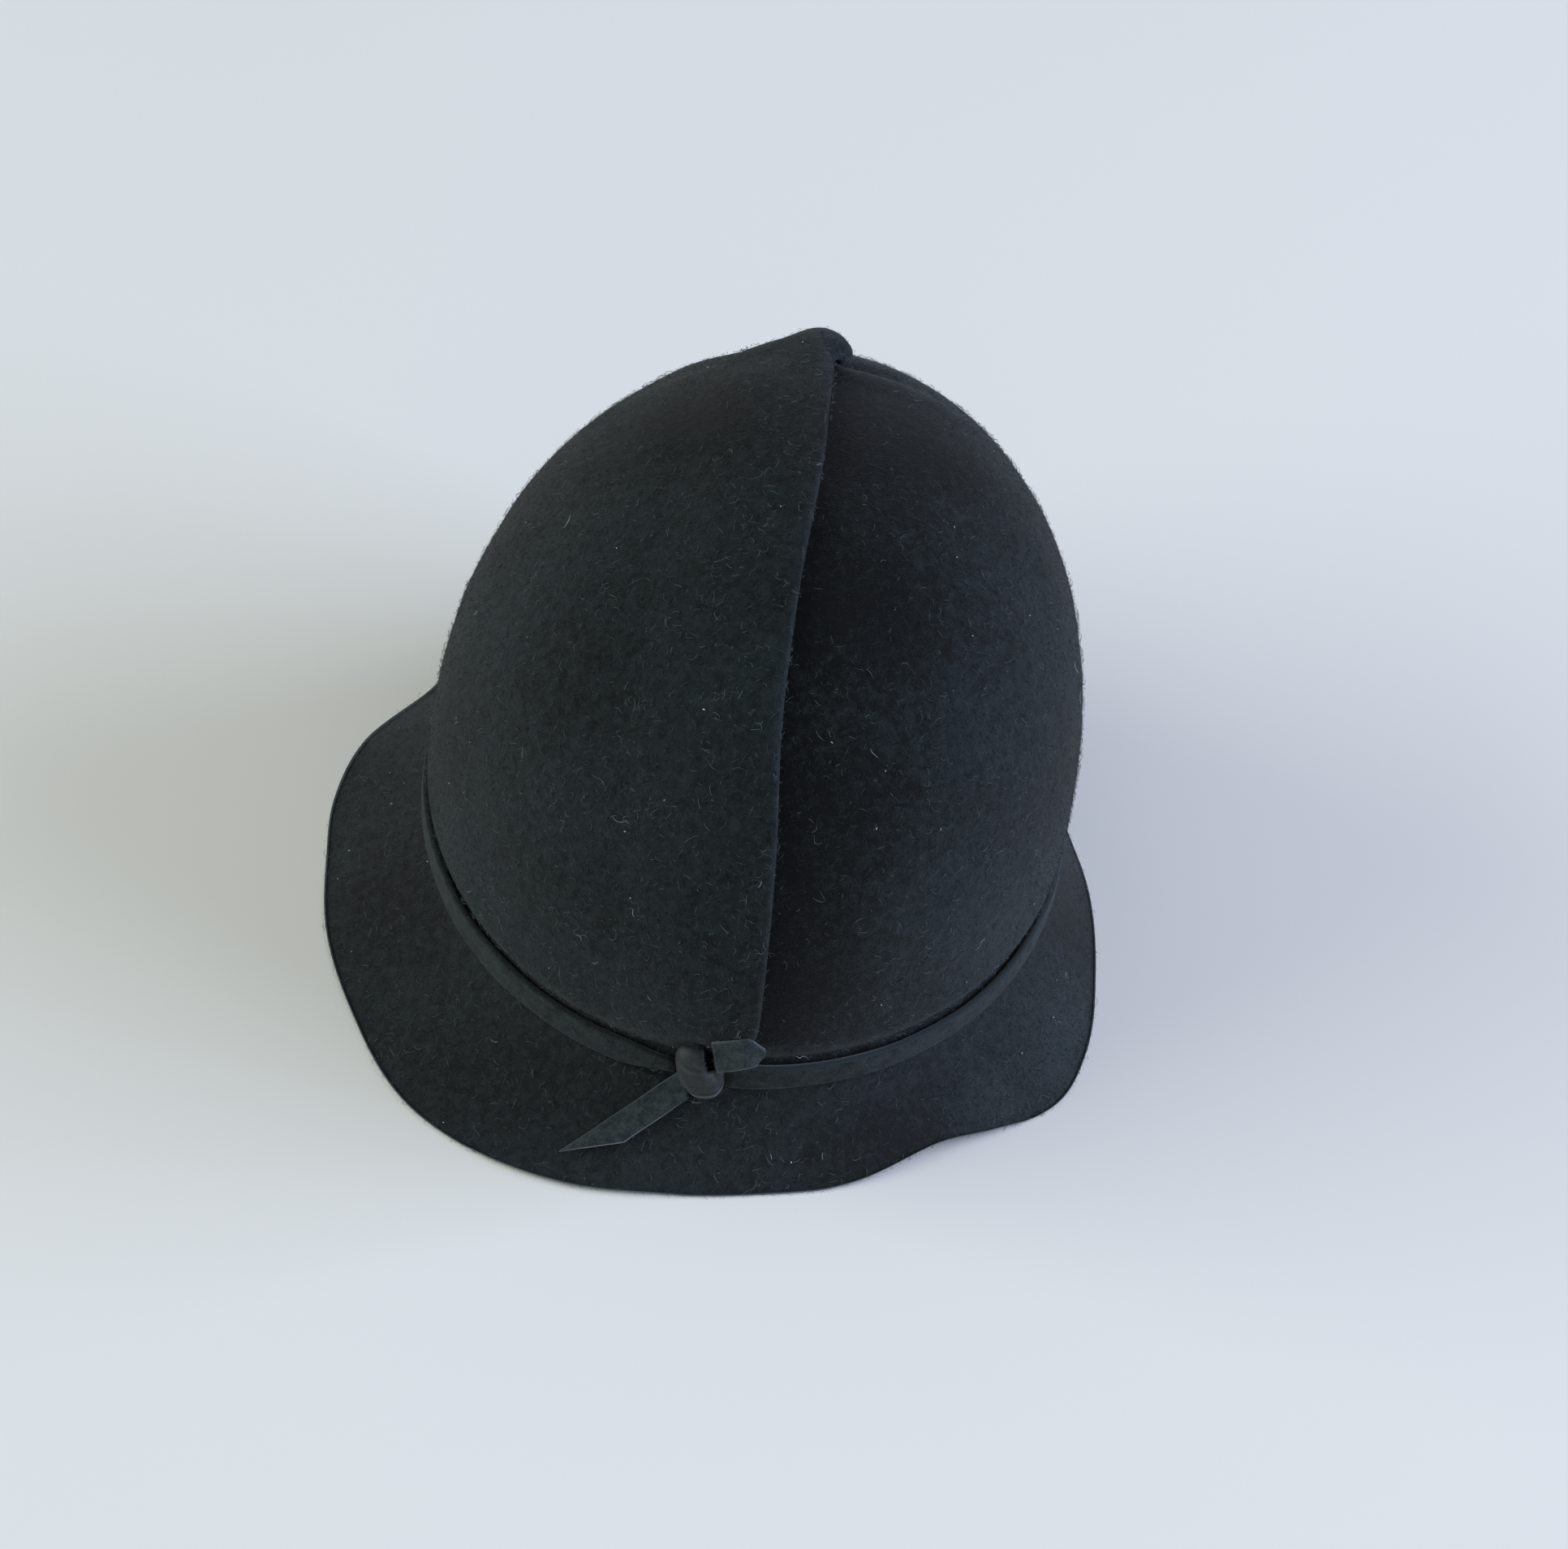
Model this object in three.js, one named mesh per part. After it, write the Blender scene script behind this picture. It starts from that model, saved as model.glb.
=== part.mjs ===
// A cloche hat: one blocked body of felt, with a tuck folded up the back of its crown,
// and a strip of the same felt round the crown, tied in a small knot with two cut ends.
// Lengths are in millimetres, angles in degrees. +Y is the front, +X the wearer's right.
// z = 0 is the surface that the edge of the brim rests on.

import * as THREE from "three";

// Felt of the body
const FELT = 2.2;

// Crown: half-widths of its widest ring, and its height above that ring
const CROWN_LEFT = 86;
const CROWN_RIGHT = 89;
const CROWN_BACK = 107;
const CROWN_FRONT = 103;
const CROWN_RISE = 115;
const CROWN_FULLNESS = 2.2;
const CROWN_LEAN = 11;
const LEAN_POWER = 1.5;

// The crown draws in from its widest ring to the ring under the strip
const BULGE_HEIGHT = 8;
const BULGE_SIDE = 1.5;
const BULGE_BACK = 2.6;
const BULGE_FRONT = 2.5;

// Strip round the crown, its knot and its two ends
const STRIP_WIDTH = 8.5;
const STRIP_THICK = 1.8;
const STRIP_CLEAR = 0.3;
const KNOT_ANGLE = -4.8;
const KNOT_WIDE = 12.4;
const KNOT_TALL = 19.5;
const KNOT_LIFT = 3;
const KNOT_SHIFT = 2;
const KNOT_FRONT = 5;
const KNOT_BACK = 2.2;
const KNOT_SLANT = 24;
const KNOT_GROOVE = 0.8;
const KNOT_SQUARE = 0.8;
const GROOVE_SPREAD = 0.16;
const LONG_END_LENGTH = 24.8;
const LONG_END_WIDE = 7.3;
const LONG_END_CUT = -2.1;
const SHORT_END_LENGTH = 11.5;
const SHORT_END_HEIGHT = 16.8;
const SHORT_END_LEAN = 15;
const SHORT_END_CUT = -0.1;
const SHORT_END_POINT = 0.25;

// Brim: height of its root, its mean reach past the crown, and the lift of its waves
const BRIM_ROOT = 22;
const BRIM_REACH = 28;
const BRIM_LIFT = 4;
const BRIM_TURN = 0.18;
const EDGE_ROUND = 0.7;

// Tuck: the left panel folded over the right one, and the nub at its upper end
const TUCK_DEPTH = 14;
const TUCK_RISE = 4.6;
const TUCK_SLIT = 0.5;
const TUCK_EASE = 26;
const TUCK_SWAY = 6;
const TUCK_END = 22;
const NUB_RISE = 2.4;
const NUB_WIDE = 12;

// Shares of the crown over which the fold and the nub start and fade
const FOLD_START = 0.035;
const FOLD_END = 0.985;
const FOLD_FADE = 0.045;
const NUB_REACH = 0.1;
const NUB_FADE = 0.08;

// Crosswise ridge and valley at the upper end of the tuck
const RIDGE_RISE = 1.5;
const RIDGE_WIDE = 3.5;
const RIDGE_DROP = 5.5;
const RIDGE_TURN = 0.12;
const VALLEY_DEPTH = 3.5;
const VALLEY_WIDE = 3.5;
const VALLEY_SHIFT = 5.5;
const VALLEY_REACH = 52;

// Where the rings of the crown close, in front of the ridge
const CLOSE_ANGLE = 38;

// How finely the felt, the knot and the ends are divided
const PLAIN_COLUMNS = 60;
const TUCK_ANGLE = 75;
const KNOT_COLUMNS = 14;
const KNOT_ROWS = 10;
const END_STEPS = 8;

// Steps for slopes along the felt, in degrees and in shares, and along an end in shares
const SMALL_TURN = 0.3;
const HALF_DEGREE = 0.5;
const SMALL_SHARE = 0.004;
const LOOK_AHEAD = 0.05;

// Rounds for the places that are found by trying, and the step of a search in shares
const FALL_ROUNDS = 4;
const HALVINGS = 24;
const SEARCH_STEP = 0.001;

// Colour of the felt
const BLACK_FELT = 0x24272a;
const STRIP_FELT = 0x1f2225;

const STRIP_LOW = BRIM_ROOT;
const STRIP_TOP = STRIP_LOW + STRIP_WIDTH;
const WIDEST = STRIP_TOP + BULGE_HEIGHT;
const KNOT_HEIGHT = STRIP_LOW + STRIP_WIDTH / 2 + KNOT_LIFT;

// Brim edge by angle from the back, + towards +X: reach as a share of BRIM_REACH, and lift
// as a share of BRIM_LIFT, where less than nothing lies flat on the surface
const BRIM_EDGE = [
  { angle: -180, reach: 1.05, lift: -0.4 },
  { angle: -155, reach: 0.9, lift: 0.1 },
  { angle: -127, reach: 0.68, lift: 0.3 },
  { angle: -112, reach: 0.93, lift: -0.1 },
  { angle: -98, reach: 0.99, lift: -0.3 },
  { angle: -85, reach: 0.98, lift: 0.1 },
  { angle: -70, reach: 1.07, lift: 0.3 },
  { angle: -55, reach: 1.14, lift: 0.1 },
  { angle: -40, reach: 1.27, lift: -0.3 },
  { angle: -28, reach: 1.19, lift: 0.1 },
  { angle: -18, reach: 1.04, lift: 0.2 },
  { angle: -7, reach: 0.8, lift: 0.1 },
  { angle: 4, reach: 0.68, lift: -0.3 },
  { angle: 16, reach: 0.68, lift: 0.2 },
  { angle: 28, reach: 0.64, lift: 0.9 },
  { angle: 37, reach: 0.78, lift: 0.4 },
  { angle: 47, reach: 0.96, lift: -0.3 },
  { angle: 56, reach: 0.88, lift: 0.1 },
  { angle: 72, reach: 0.62, lift: 0.3 },
  { angle: 90, reach: 0.46, lift: 0.3 },
  { angle: 106, reach: 0.38, lift: 0.1 },
  { angle: 128, reach: 0.52, lift: 0.3 },
  { angle: 154, reach: 0.86, lift: 0.1 },
  { angle: 180, reach: 1.05, lift: -0.4 },
];

// Line of the folded edge: side shift as a share of TUCK_SWAY, by share of the way up
const TUCK_LINE = [
  { up: 0, side: 0.75 },
  { up: 0.15, side: 0.5 },
  { up: 0.3, side: 0 },
  { up: 0.45, side: -0.7 },
  { up: 0.6, side: -0.7 },
  { up: 0.75, side: -0.15 },
  { up: 0.9, side: 0.3 },
  { up: 1, side: 1 },
];

// Columns through the tuck from left to right, on the outside of the felt: where each lies,
// as shares of the depth, the ease beyond it and the round of the fold, and its height, as
// shares of the rise and of the slit
const TUCK_COLUMNS = [
  { depth: 1, ease: 1, round: 0, rise: 0, slit: 0 },
  { depth: 1, ease: 0.75, round: 0, rise: 0.2, slit: 0 },
  { depth: 1, ease: 0.5, round: 0, rise: 0.45, slit: 0 },
  { depth: 1, ease: 0.25, round: 0, rise: 0.71, slit: 0 },
  { depth: 1, ease: 0, round: 0, rise: 0.92, slit: 0 },
  { depth: 0.55, ease: 0, round: 0, rise: 1, slit: 0 },
  { depth: 0, ease: 0, round: 1, rise: 1, slit: 0 },
  { depth: 0, ease: 0, round: 0.3, rise: 0.86, slit: 0.14 },
  { depth: 0, ease: 0, round: 0, rise: 0.5, slit: 0.5 },
  { depth: 0, ease: 0, round: 0.3, rise: 0.14, slit: 0.86 },
  { depth: 0, ease: 0, round: 1, rise: 0, slit: 1 },
  { depth: 0.9, ease: 0, round: 0, rise: 0, slit: 1 },
  { depth: 0.96, ease: 0, round: 0, rise: 0, slit: 0.5 },
  { depth: 0.9, ease: 0, round: 0, rise: 0, slit: 0 },
  { depth: 0, ease: 0, round: 1, rise: 0, slit: 0 },
  { depth: 0, ease: 0, round: -1.4, rise: 0, slit: 0 },
  { depth: 0, ease: 0, round: -5, rise: 0, slit: 0 },
];

// Rings of the body from the closed top down, as shares of the way to the strip, then of
// the strip's width, then of the brim
const CROWN_RINGS = [0.025, 0.045, 0.065, 0.085, 0.102, 0.12, 0.14, 0.17, 0.21, 0.26, 0.32, 0.4,
  0.48, 0.56, 0.64, 0.72, 0.8, 0.87, 0.93, 0.97, 1];
const BRIM_RINGS = [0, 0.12, 0.28, 0.5, 0.75, 0.95];
const LAST_RING = BRIM_RINGS[BRIM_RINGS.length - 1];

// The underside of the brim is looked for from this share outwards
const UNDERSIDE_FROM = 2.3;

const radians = THREE.MathUtils.degToRad;
const clamp = THREE.MathUtils.clamp;
const lerp = THREE.MathUtils.lerp;

function ease(x) {
  const t = clamp(x, 0, 1);
  return t * t * (3 - 2 * t);
}

// A smooth value from a table: rows are found by the key column and read from the value column
function read(rows, key, value, at) {
  let i = 0;
  while (i < rows.length - 2 && rows[i + 1][key] < at) i += 1;
  const slope = (k) => {
    const before = rows[Math.max(k - 1, 0)];
    const after = rows[Math.min(k + 1, rows.length - 1)];
    return (after[value] - before[value]) / (after[key] - before[key]);
  };
  const span = rows[i + 1][key] - rows[i][key];
  const t = clamp((at - rows[i][key]) / span, 0, 1);
  const back = (1 - t) * (1 - t);
  return (1 + 2 * t) * back * rows[i][value] + t * back * span * slope(i)
    + t * t * (3 - 2 * t) * rows[i + 1][value] - t * t * (1 - t) * span * slope(i + 1);
}

function wrap(angle) {
  return angle - 360 * Math.floor((angle + 180) / 360);
}

// Widest ring of the crown, and how far the ring under the strip lies inside it
function widest(angle) {
  const across = Math.sin(radians(angle));
  const along = Math.cos(radians(angle));
  const half = across < 0 ? CROWN_LEFT : CROWN_RIGHT;
  const length = along > 0 ? CROWN_BACK : CROWN_FRONT;
  return 1 / Math.hypot(across / half, along / length);
}

function bulge(angle) {
  const along = Math.cos(radians(angle));
  const end = along > 0 ? BULGE_BACK : BULGE_FRONT;
  return lerp(BULGE_SIDE, end, along * along);
}

function ringRadius(angle) {
  return widest(angle) - bulge(angle);
}

function atAngle(angle, radius, z) {
  return new THREE.Vector3(
    radius * Math.sin(radians(angle)), -radius * Math.cos(radians(angle)), z);
}

// Crown surface in a direction from the centre of the widest ring, before its folds
function crownAlong(direction) {
  const angle = THREE.MathUtils.radToDeg(Math.atan2(direction.x, -direction.y));
  const level = Math.hypot(direction.x, direction.y);
  const full = widest(angle);
  const n = CROWN_FULLNESS;
  let reach;
  if (direction.z >= 0) {
    reach = ((level / full) ** n + (direction.z / CROWN_RISE) ** n) ** (-1 / n);
  } else {
    const fall = -direction.z / level;
    let radius = full;
    for (let i = 0; i < FALL_ROUNDS; i += 1) {
      radius = full - bulge(angle) * (radius * fall / BULGE_HEIGHT) ** 2;
    }
    reach = radius / level;
  }
  const point = direction.clone().multiplyScalar(reach);
  const height = Math.max(point.z + BULGE_HEIGHT, 0) / (BULGE_HEIGHT + CROWN_RISE);
  point.x += CROWN_LEAN * height ** LEAN_POWER;
  point.z += WIDEST;
  return point;
}

// Height that the ridge and the valley add, from the slope of a direction to the front. They
// lie lower on the right of the tuck
function foldHeight(direction) {
  const side = direction.x * CROWN_RISE / VALLEY_REACH;
  const slope = THREE.MathUtils.radToDeg(Math.atan2(direction.y, direction.z))
    + RIDGE_DROP * ease(side / RIDGE_TURN);
  const fade = 1 - ease(Math.abs(side));
  const bell = (middle, width) => Math.exp(-(((slope - middle) / width) ** 2));
  return fade * (RIDGE_RISE * bell(TUCK_END, RIDGE_WIDE)
    - VALLEY_DEPTH * bell(TUCK_END + VALLEY_SHIFT, VALLEY_WIDE));
}

// Direction on the crown: share 0 is where the rings close, 1 the top of the strip's ring
const CLOSE = new THREE.Vector3(0, Math.sin(radians(CLOSE_ANGLE)), Math.cos(radians(CLOSE_ANGLE)));

function crownDirection(angle, share) {
  const foot = atAngle(angle, ringRadius(angle), -BULGE_HEIGHT).normalize();
  const turn = CLOSE.angleTo(foot);
  return CLOSE.clone().multiplyScalar(Math.sin((1 - share) * turn))
    .addScaledVector(foot, Math.sin(share * turn)).divideScalar(Math.sin(turn));
}

function brimLift(angle) {
  return BRIM_LIFT * Math.max(read(BRIM_EDGE, "angle", "lift", wrap(angle)), 0);
}

// Outside of the plain felt. share runs 0 to 1 down the crown, to 2 down the strip's ring
// and to 3 out along the brim
function felt(angle, share) {
  if (share <= 1) {
    const direction = crownDirection(angle, share);
    return crownAlong(direction).addScaledVector(direction, foldHeight(direction));
  }
  if (share <= 2) return atAngle(angle, ringRadius(angle), lerp(STRIP_TOP, STRIP_LOW, share - 1));
  const out = share - 2;
  const reach = BRIM_REACH * read(BRIM_EDGE, "angle", "reach", wrap(angle));
  const radius = ringRadius(angle) + reach * out * out * (1 + BRIM_TURN) / (out + BRIM_TURN);
  return atAngle(angle, radius, lerp(BRIM_ROOT, brimLift(angle), out));
}

// Length round the felt for one degree
function degreeLength(angle, share) {
  return felt(angle + HALF_DEGREE, share).distanceTo(felt(angle - HALF_DEGREE, share));
}

function feltNormal(angle, share) {
  const around = felt(angle + SMALL_TURN, share).sub(felt(angle - SMALL_TURN, share));
  const above = Math.max(share - SMALL_SHARE, 0);
  const below = Math.min(share + SMALL_SHARE, 3);
  const down = felt(angle, below).sub(felt(angle, above));
  return down.cross(around).normalize();
}

// Share of the way up the tuck, from the strip to the nub, and how far the tuck is folded
const TUCK_TOP = (() => {
  let share = 0;
  while (share < 1) {
    const direction = crownDirection(0, share);
    if (Math.atan2(direction.y, direction.z) < radians(TUCK_END)) break;
    share += SEARCH_STEP;
  }
  return share;
})();

function tuckUp(share) {
  return clamp((1 - share) / (1 - TUCK_TOP), 0, 1);
}

function tuckFold(share) {
  return ease((share - TUCK_TOP + FOLD_START) / FOLD_START) * ease((FOLD_END - share) / FOLD_FADE);
}

// Columns of one ring: the angle of each and its height over the plain felt
function columns(share, folded) {
  const onCrown = Math.min(share, 1);
  const perRadian = degreeLength(0, onCrown) / radians(1);
  const span = TUCK_DEPTH + TUCK_EASE;
  const fit = Math.min(1, perRadian * radians(TUCK_ANGLE) / span);
  const line = TUCK_SWAY * read(TUCK_LINE, "up", "side", tuckUp(onCrown));
  const fold = folded ? tuckFold(share) : 0;
  const nub = NUB_RISE * ease((NUB_REACH - share + TUCK_TOP) / NUB_FADE);
  const round = (TUCK_RISE - TUCK_SLIT) / 2;
  const last = TUCK_COLUMNS.length - 1;
  const right = -TUCK_COLUMNS[last].round * round;
  const list = TUCK_COLUMNS.map((column, i) => {
    const plain = lerp(-span, right, i / last);
    const bent = -(column.depth * TUCK_DEPTH + column.ease * TUCK_EASE + column.round * round);
    const lobe = Math.exp(-(((2 * bent + NUB_WIDE) / NUB_WIDE) ** 2));
    const rise = TUCK_RISE + nub * lobe;
    const side = (line + lerp(plain, bent, fold)) * fit;
    return {
      angle: THREE.MathUtils.radToDeg(side / perRadian),
      height: fold * (column.rise * rise + column.slit * TUCK_SLIT),
    };
  });
  const from = list[last].angle;
  const sweep = 360 + list[0].angle - from;
  for (let i = 1; i < PLAIN_COLUMNS; i += 1) {
    list.push({ angle: from + sweep * i / PLAIN_COLUMNS, height: 0 });
  }
  return list;
}

// The share at which the underside of the brim meets the level of its edge
function undersideEnd(angle) {
  const level = brimLift(angle);
  let low = UNDERSIDE_FROM;
  let high = 3;
  for (let i = 0; i < HALVINGS; i += 1) {
    const half = (low + high) / 2;
    const { z } = felt(angle, half).addScaledVector(feltNormal(angle, half), -FELT);
    if (z > level) {
      low = half;
    } else {
      high = half;
    }
  }
  return low;
}

// A closed body from rings of points, with an end point before the first and after the last
function closedRings(rings, first, last) {
  const count = rings[0].length;
  const points = [first, ...rings.flat(), last];
  const faces = [];
  for (let i = 0; i < count; i += 1) {
    const next = (i + 1) % count;
    faces.push(0, 1 + i, 1 + next);
    for (let k = 0; k + 1 < rings.length; k += 1) {
      const a = 1 + k * count;
      const b = a + count;
      faces.push(a + i, b + i, b + next, a + i, b + next, a + next);
    }
    const end = 1 + (rings.length - 1) * count;
    faces.push(end + i, points.length - 1, end + next);
  }
  const geometry = new THREE.BufferGeometry().setFromPoints(points);
  geometry.setIndex(faces);
  geometry.computeVertexNormals();
  return geometry;
}

function feltBody() {
  const shares = [...CROWN_RINGS, ...BRIM_RINGS.map((out) => 2 + out)];
  const outside = shares.map((share) => columns(share, true).map(({ angle, height }) => {
    return felt(angle, share).addScaledVector(feltNormal(angle, share), height);
  }));
  const edge = columns(3, false).map(({ angle }) => {
    const rim = felt(angle, 3);
    const radius = Math.hypot(rim.x, rim.y);
    return [atAngle(angle, radius, rim.z + EDGE_ROUND), atAngle(angle, radius - EDGE_ROUND, rim.z)];
  });
  const inside = shares.map((share) => columns(share, false).map(({ angle }) => {
    const at = share > 2 ? lerp(2, undersideEnd(angle), (share - 2) / LAST_RING) : share;
    return felt(angle, at).addScaledVector(feltNormal(angle, at), -FELT);
  }));
  const top = felt(0, 0);
  const topInside = felt(0, 0).addScaledVector(CLOSE, -FELT);
  const rings = [
    ...outside, edge.map((pair) => pair[0]), edge.map((pair) => pair[1]), ...inside.reverse(),
  ];
  return closedRings(rings, top, topInside);
}

function middle(ring) {
  return ring.reduce((sum, point) => sum.add(point), new THREE.Vector3())
    .divideScalar(ring.length);
}

// Section of the strip: its corners across (out from the ring) and up, a little rounded
const STRIP_SECTION = [
  { across: 0.7, up: 0 },
  { across: 1, up: 0.07 },
  { across: 1, up: 0.93 },
  { across: 0.7, up: 1 },
  { across: 0, up: 1 },
  { across: 0, up: 0 },
];

function stripRound() {
  const half = THREE.MathUtils.radToDeg((KNOT_WIDE / 2 + STRIP_CLEAR) / ringRadius(KNOT_ANGLE));
  const from = KNOT_ANGLE + half;
  const to = KNOT_ANGLE - half + 360;
  const between = columns(2, false)
    .map(({ angle }) => (angle < from ? angle + 360 : angle))
    .filter((angle) => angle > from + SMALL_TURN && angle < to - SMALL_TURN)
    .sort((a, b) => a - b);
  const angles = [from, ...between, to];
  const rings = angles.map((angle) => STRIP_SECTION.map(({ across, up }) => atAngle(
    angle, ringRadius(angle) + STRIP_CLEAR + across * STRIP_THICK, lerp(STRIP_LOW, STRIP_TOP, up))));
  return closedRings(rings, middle(rings[0]), middle(rings[rings.length - 1]));
}

// How far the felt stands out from the ring under the strip at a height
function standOut(angle, z) {
  if (z > STRIP_TOP) return bulge(angle) * (1 - (Math.max(WIDEST - z, 0) / BULGE_HEIGHT) ** 2);
  if (z > STRIP_LOW) return 0;
  const share = 2 + (BRIM_ROOT - z) / (BRIM_ROOT - brimLift(angle));
  const point = felt(angle, Math.min(share, 3));
  return Math.hypot(point.x, point.y) - ringRadius(angle);
}

// The knot: a pressed lump of two turns of the strip, with a slanted groove between them
function knot() {
  const out = atAngle(KNOT_ANGLE, 1, 0);
  const side = new THREE.Vector3(-out.y, out.x, 0);
  const square = (value) => Math.sign(value) * Math.abs(value) ** KNOT_SQUARE;
  const at = (turn, tilt) => {
    const x = Math.sin(tilt) * Math.sin(turn);
    const y = Math.sin(tilt) * Math.cos(turn);
    const z = Math.cos(tilt);
    const slanted = z * Math.cos(radians(KNOT_SLANT)) + x * Math.sin(radians(KNOT_SLANT));
    const groove = y > 0 ? KNOT_GROOVE * y * Math.exp(-((slanted / GROOVE_SPREAD) ** 2)) : 0;
    const height = KNOT_HEIGHT + square(z) * KNOT_TALL / 2;
    const deep = y > 0 ? KNOT_FRONT : KNOT_BACK;
    const radius = ringRadius(KNOT_ANGLE) + standOut(KNOT_ANGLE, height) + STRIP_CLEAR
      + KNOT_BACK + y * deep - groove;
    const across = square(x) * KNOT_WIDE / 2 - KNOT_SHIFT * z;
    return out.clone().multiplyScalar(radius).addScaledVector(side, across).setZ(height);
  };
  const rings = [];
  for (let k = 1; k < KNOT_ROWS; k += 1) {
    const tilt = Math.PI * k / KNOT_ROWS;
    rings.push(Array.from({ length: KNOT_COLUMNS }, (_, i) => {
      return at(2 * Math.PI * i / KNOT_COLUMNS, tilt);
    }));
  }
  return closedRings(rings, at(0, 0), at(0, Math.PI));
}

// The long cut end lies on the brim. It leaves the knot at an angle and a share of the body, and
// its rows give how far to the side, how far down the body and how far off it the middle line
// runs: the first two as shares of the end's length, the last of the strip's thickness
const LONG_END = {
  angle: -7.6,
  share: 2.15,
  line: [
    { along: 0, side: 0, down: 0, clear: 0.75 },
    { along: 0.33, side: -0.22, down: 0.22, clear: 0.6 },
    { along: 0.67, side: -0.465, down: 0.45, clear: 0.45 },
    { along: 1, side: -0.68, down: 0.66, clear: 0.4 },
  ],
};

// The short cut end stands in front of the crown. Its rows give how far to the side and up the
// middle line runs, as shares of the end's length, and how far out from the strip's ring, as a
// share of the strip's thickness
const SHORT_END = {
  angle: -3,
  line: [
    { along: 0, side: 0, rise: 0, out: 4.2 },
    { along: 0.5, side: 0.5, rise: 0.19, out: 4.3 },
    { along: 1, side: 1, rise: 0.3, out: 3.6 },
  ],
};

// Corners round a cut end: across from one side to the other, and up off the felt
const END_SECTION = [
  { across: -1, up: 0.8 },
  { across: -0.9, up: 1 },
  { across: 0.9, up: 1 },
  { across: 1, up: 0.8 },
  { across: 1, up: 0 },
  { across: -1, up: 0 },
];

// How far a pointed end narrows, and which side of its middle line the point lies on
const POINT_NARROW = 0.9;
const POINT_SIDE = -0.2;

function overBrim(along) {
  const { angle, share, line } = LONG_END;
  const perDegree = degreeLength(angle, share);
  const perShare = felt(angle, share + SMALL_SHARE).distanceTo(felt(angle, share - SMALL_SHARE))
    / (2 * SMALL_SHARE);
  const at = angle + LONG_END_LENGTH * read(line, "along", "side", along) / perDegree;
  const down = share + LONG_END_LENGTH * read(line, "along", "down", along) / perShare;
  const normal = feltNormal(at, down);
  const clear = STRIP_THICK * read(line, "along", "clear", along);
  return { place: felt(at, down).addScaledVector(normal, clear), normal };
}

function beforeCrown(along) {
  const { angle, line } = SHORT_END;
  const side = SHORT_END_LENGTH * read(line, "along", "side", along);
  const at = angle + THREE.MathUtils.radToDeg(side / ringRadius(angle));
  const radius = ringRadius(at) + STRIP_THICK * read(line, "along", "out", along);
  const rise = SHORT_END_LENGTH * read(line, "along", "rise", along);
  const lean = radians(SHORT_END_LEAN);
  return {
    place: atAngle(at, radius, STRIP_LOW + SHORT_END_HEIGHT + rise),
    normal: atAngle(at, Math.cos(lean), Math.sin(lean)),
  };
}

// A cut end along the middle line of its underside. The cut slants it, and the point is the
// share of its length over which it narrows
function stripEnd(middleLine, width, cut, point) {
  const rings = [];
  for (let i = 0; i <= END_STEPS; i += 1) {
    const along = i / END_STEPS;
    const { place, normal } = middleLine(along);
    const ahead = middleLine(Math.min(along + LOOK_AHEAD, 1)).place
      .sub(middleLine(Math.max(along - LOOK_AHEAD, 0)).place).normalize();
    const wide = normal.clone().cross(ahead).normalize();
    const narrow = point > 0 ? POINT_NARROW * clamp((along - 1 + point) / point, 0, 1) : 0;
    rings.push(END_SECTION.map(({ across, up }) => {
      const side = lerp(across, POINT_SIDE, narrow) * width / 2;
      return place.clone().addScaledVector(wide, side).addScaledVector(ahead, side * cut * along)
        .addScaledVector(normal, up * STRIP_THICK);
    }));
  }
  return closedRings(rings, middle(rings[0]), middle(rings[END_STEPS]));
}

function piece(name, geometry, color) {
  const material = new THREE.MeshStandardMaterial({ color, roughness: 0.95, metalness: 0 });
  const mesh = new THREE.Mesh(geometry, material);
  mesh.name = name;
  return mesh;
}

const hat = new THREE.Group();
hat.add(piece("felt_body", feltBody(), BLACK_FELT));
hat.add(piece("band_strip", stripRound(), STRIP_FELT));
hat.add(piece("knot", knot(), STRIP_FELT));
hat.add(piece("long_end",
  stripEnd(overBrim, LONG_END_WIDE, LONG_END_CUT, 0), STRIP_FELT));
hat.add(piece("short_end",
  stripEnd(beforeCrown, STRIP_WIDTH, SHORT_END_CUT, SHORT_END_POINT), STRIP_FELT));

// The origin is under the middle of the hat, on the surface that it rests on
const bounds = new THREE.Box3().setFromObject(hat);
const centre = bounds.getCenter(new THREE.Vector3());
hat.position.set(-centre.x, -centre.y, -bounds.min.z);

export default hat;
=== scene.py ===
"""A black wool-felt cloche hat, dressed over its CAD frame and lit on a pale surface.

One blocked body of felt has a tuck folded up the back of its crown, and a cut strip of the
same felt runs round it to a small knot. Shapes are worked out in millimetres about the axis of
the crown, with angles in degrees from the back and + towards +X. Each mesh is then moved into
the row frame, in metres.
"""

import logging
import math
from dataclasses import dataclass
from enum import Enum, IntEnum

import bpy
import numpy as np
from mathutils import Matrix, Vector


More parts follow.
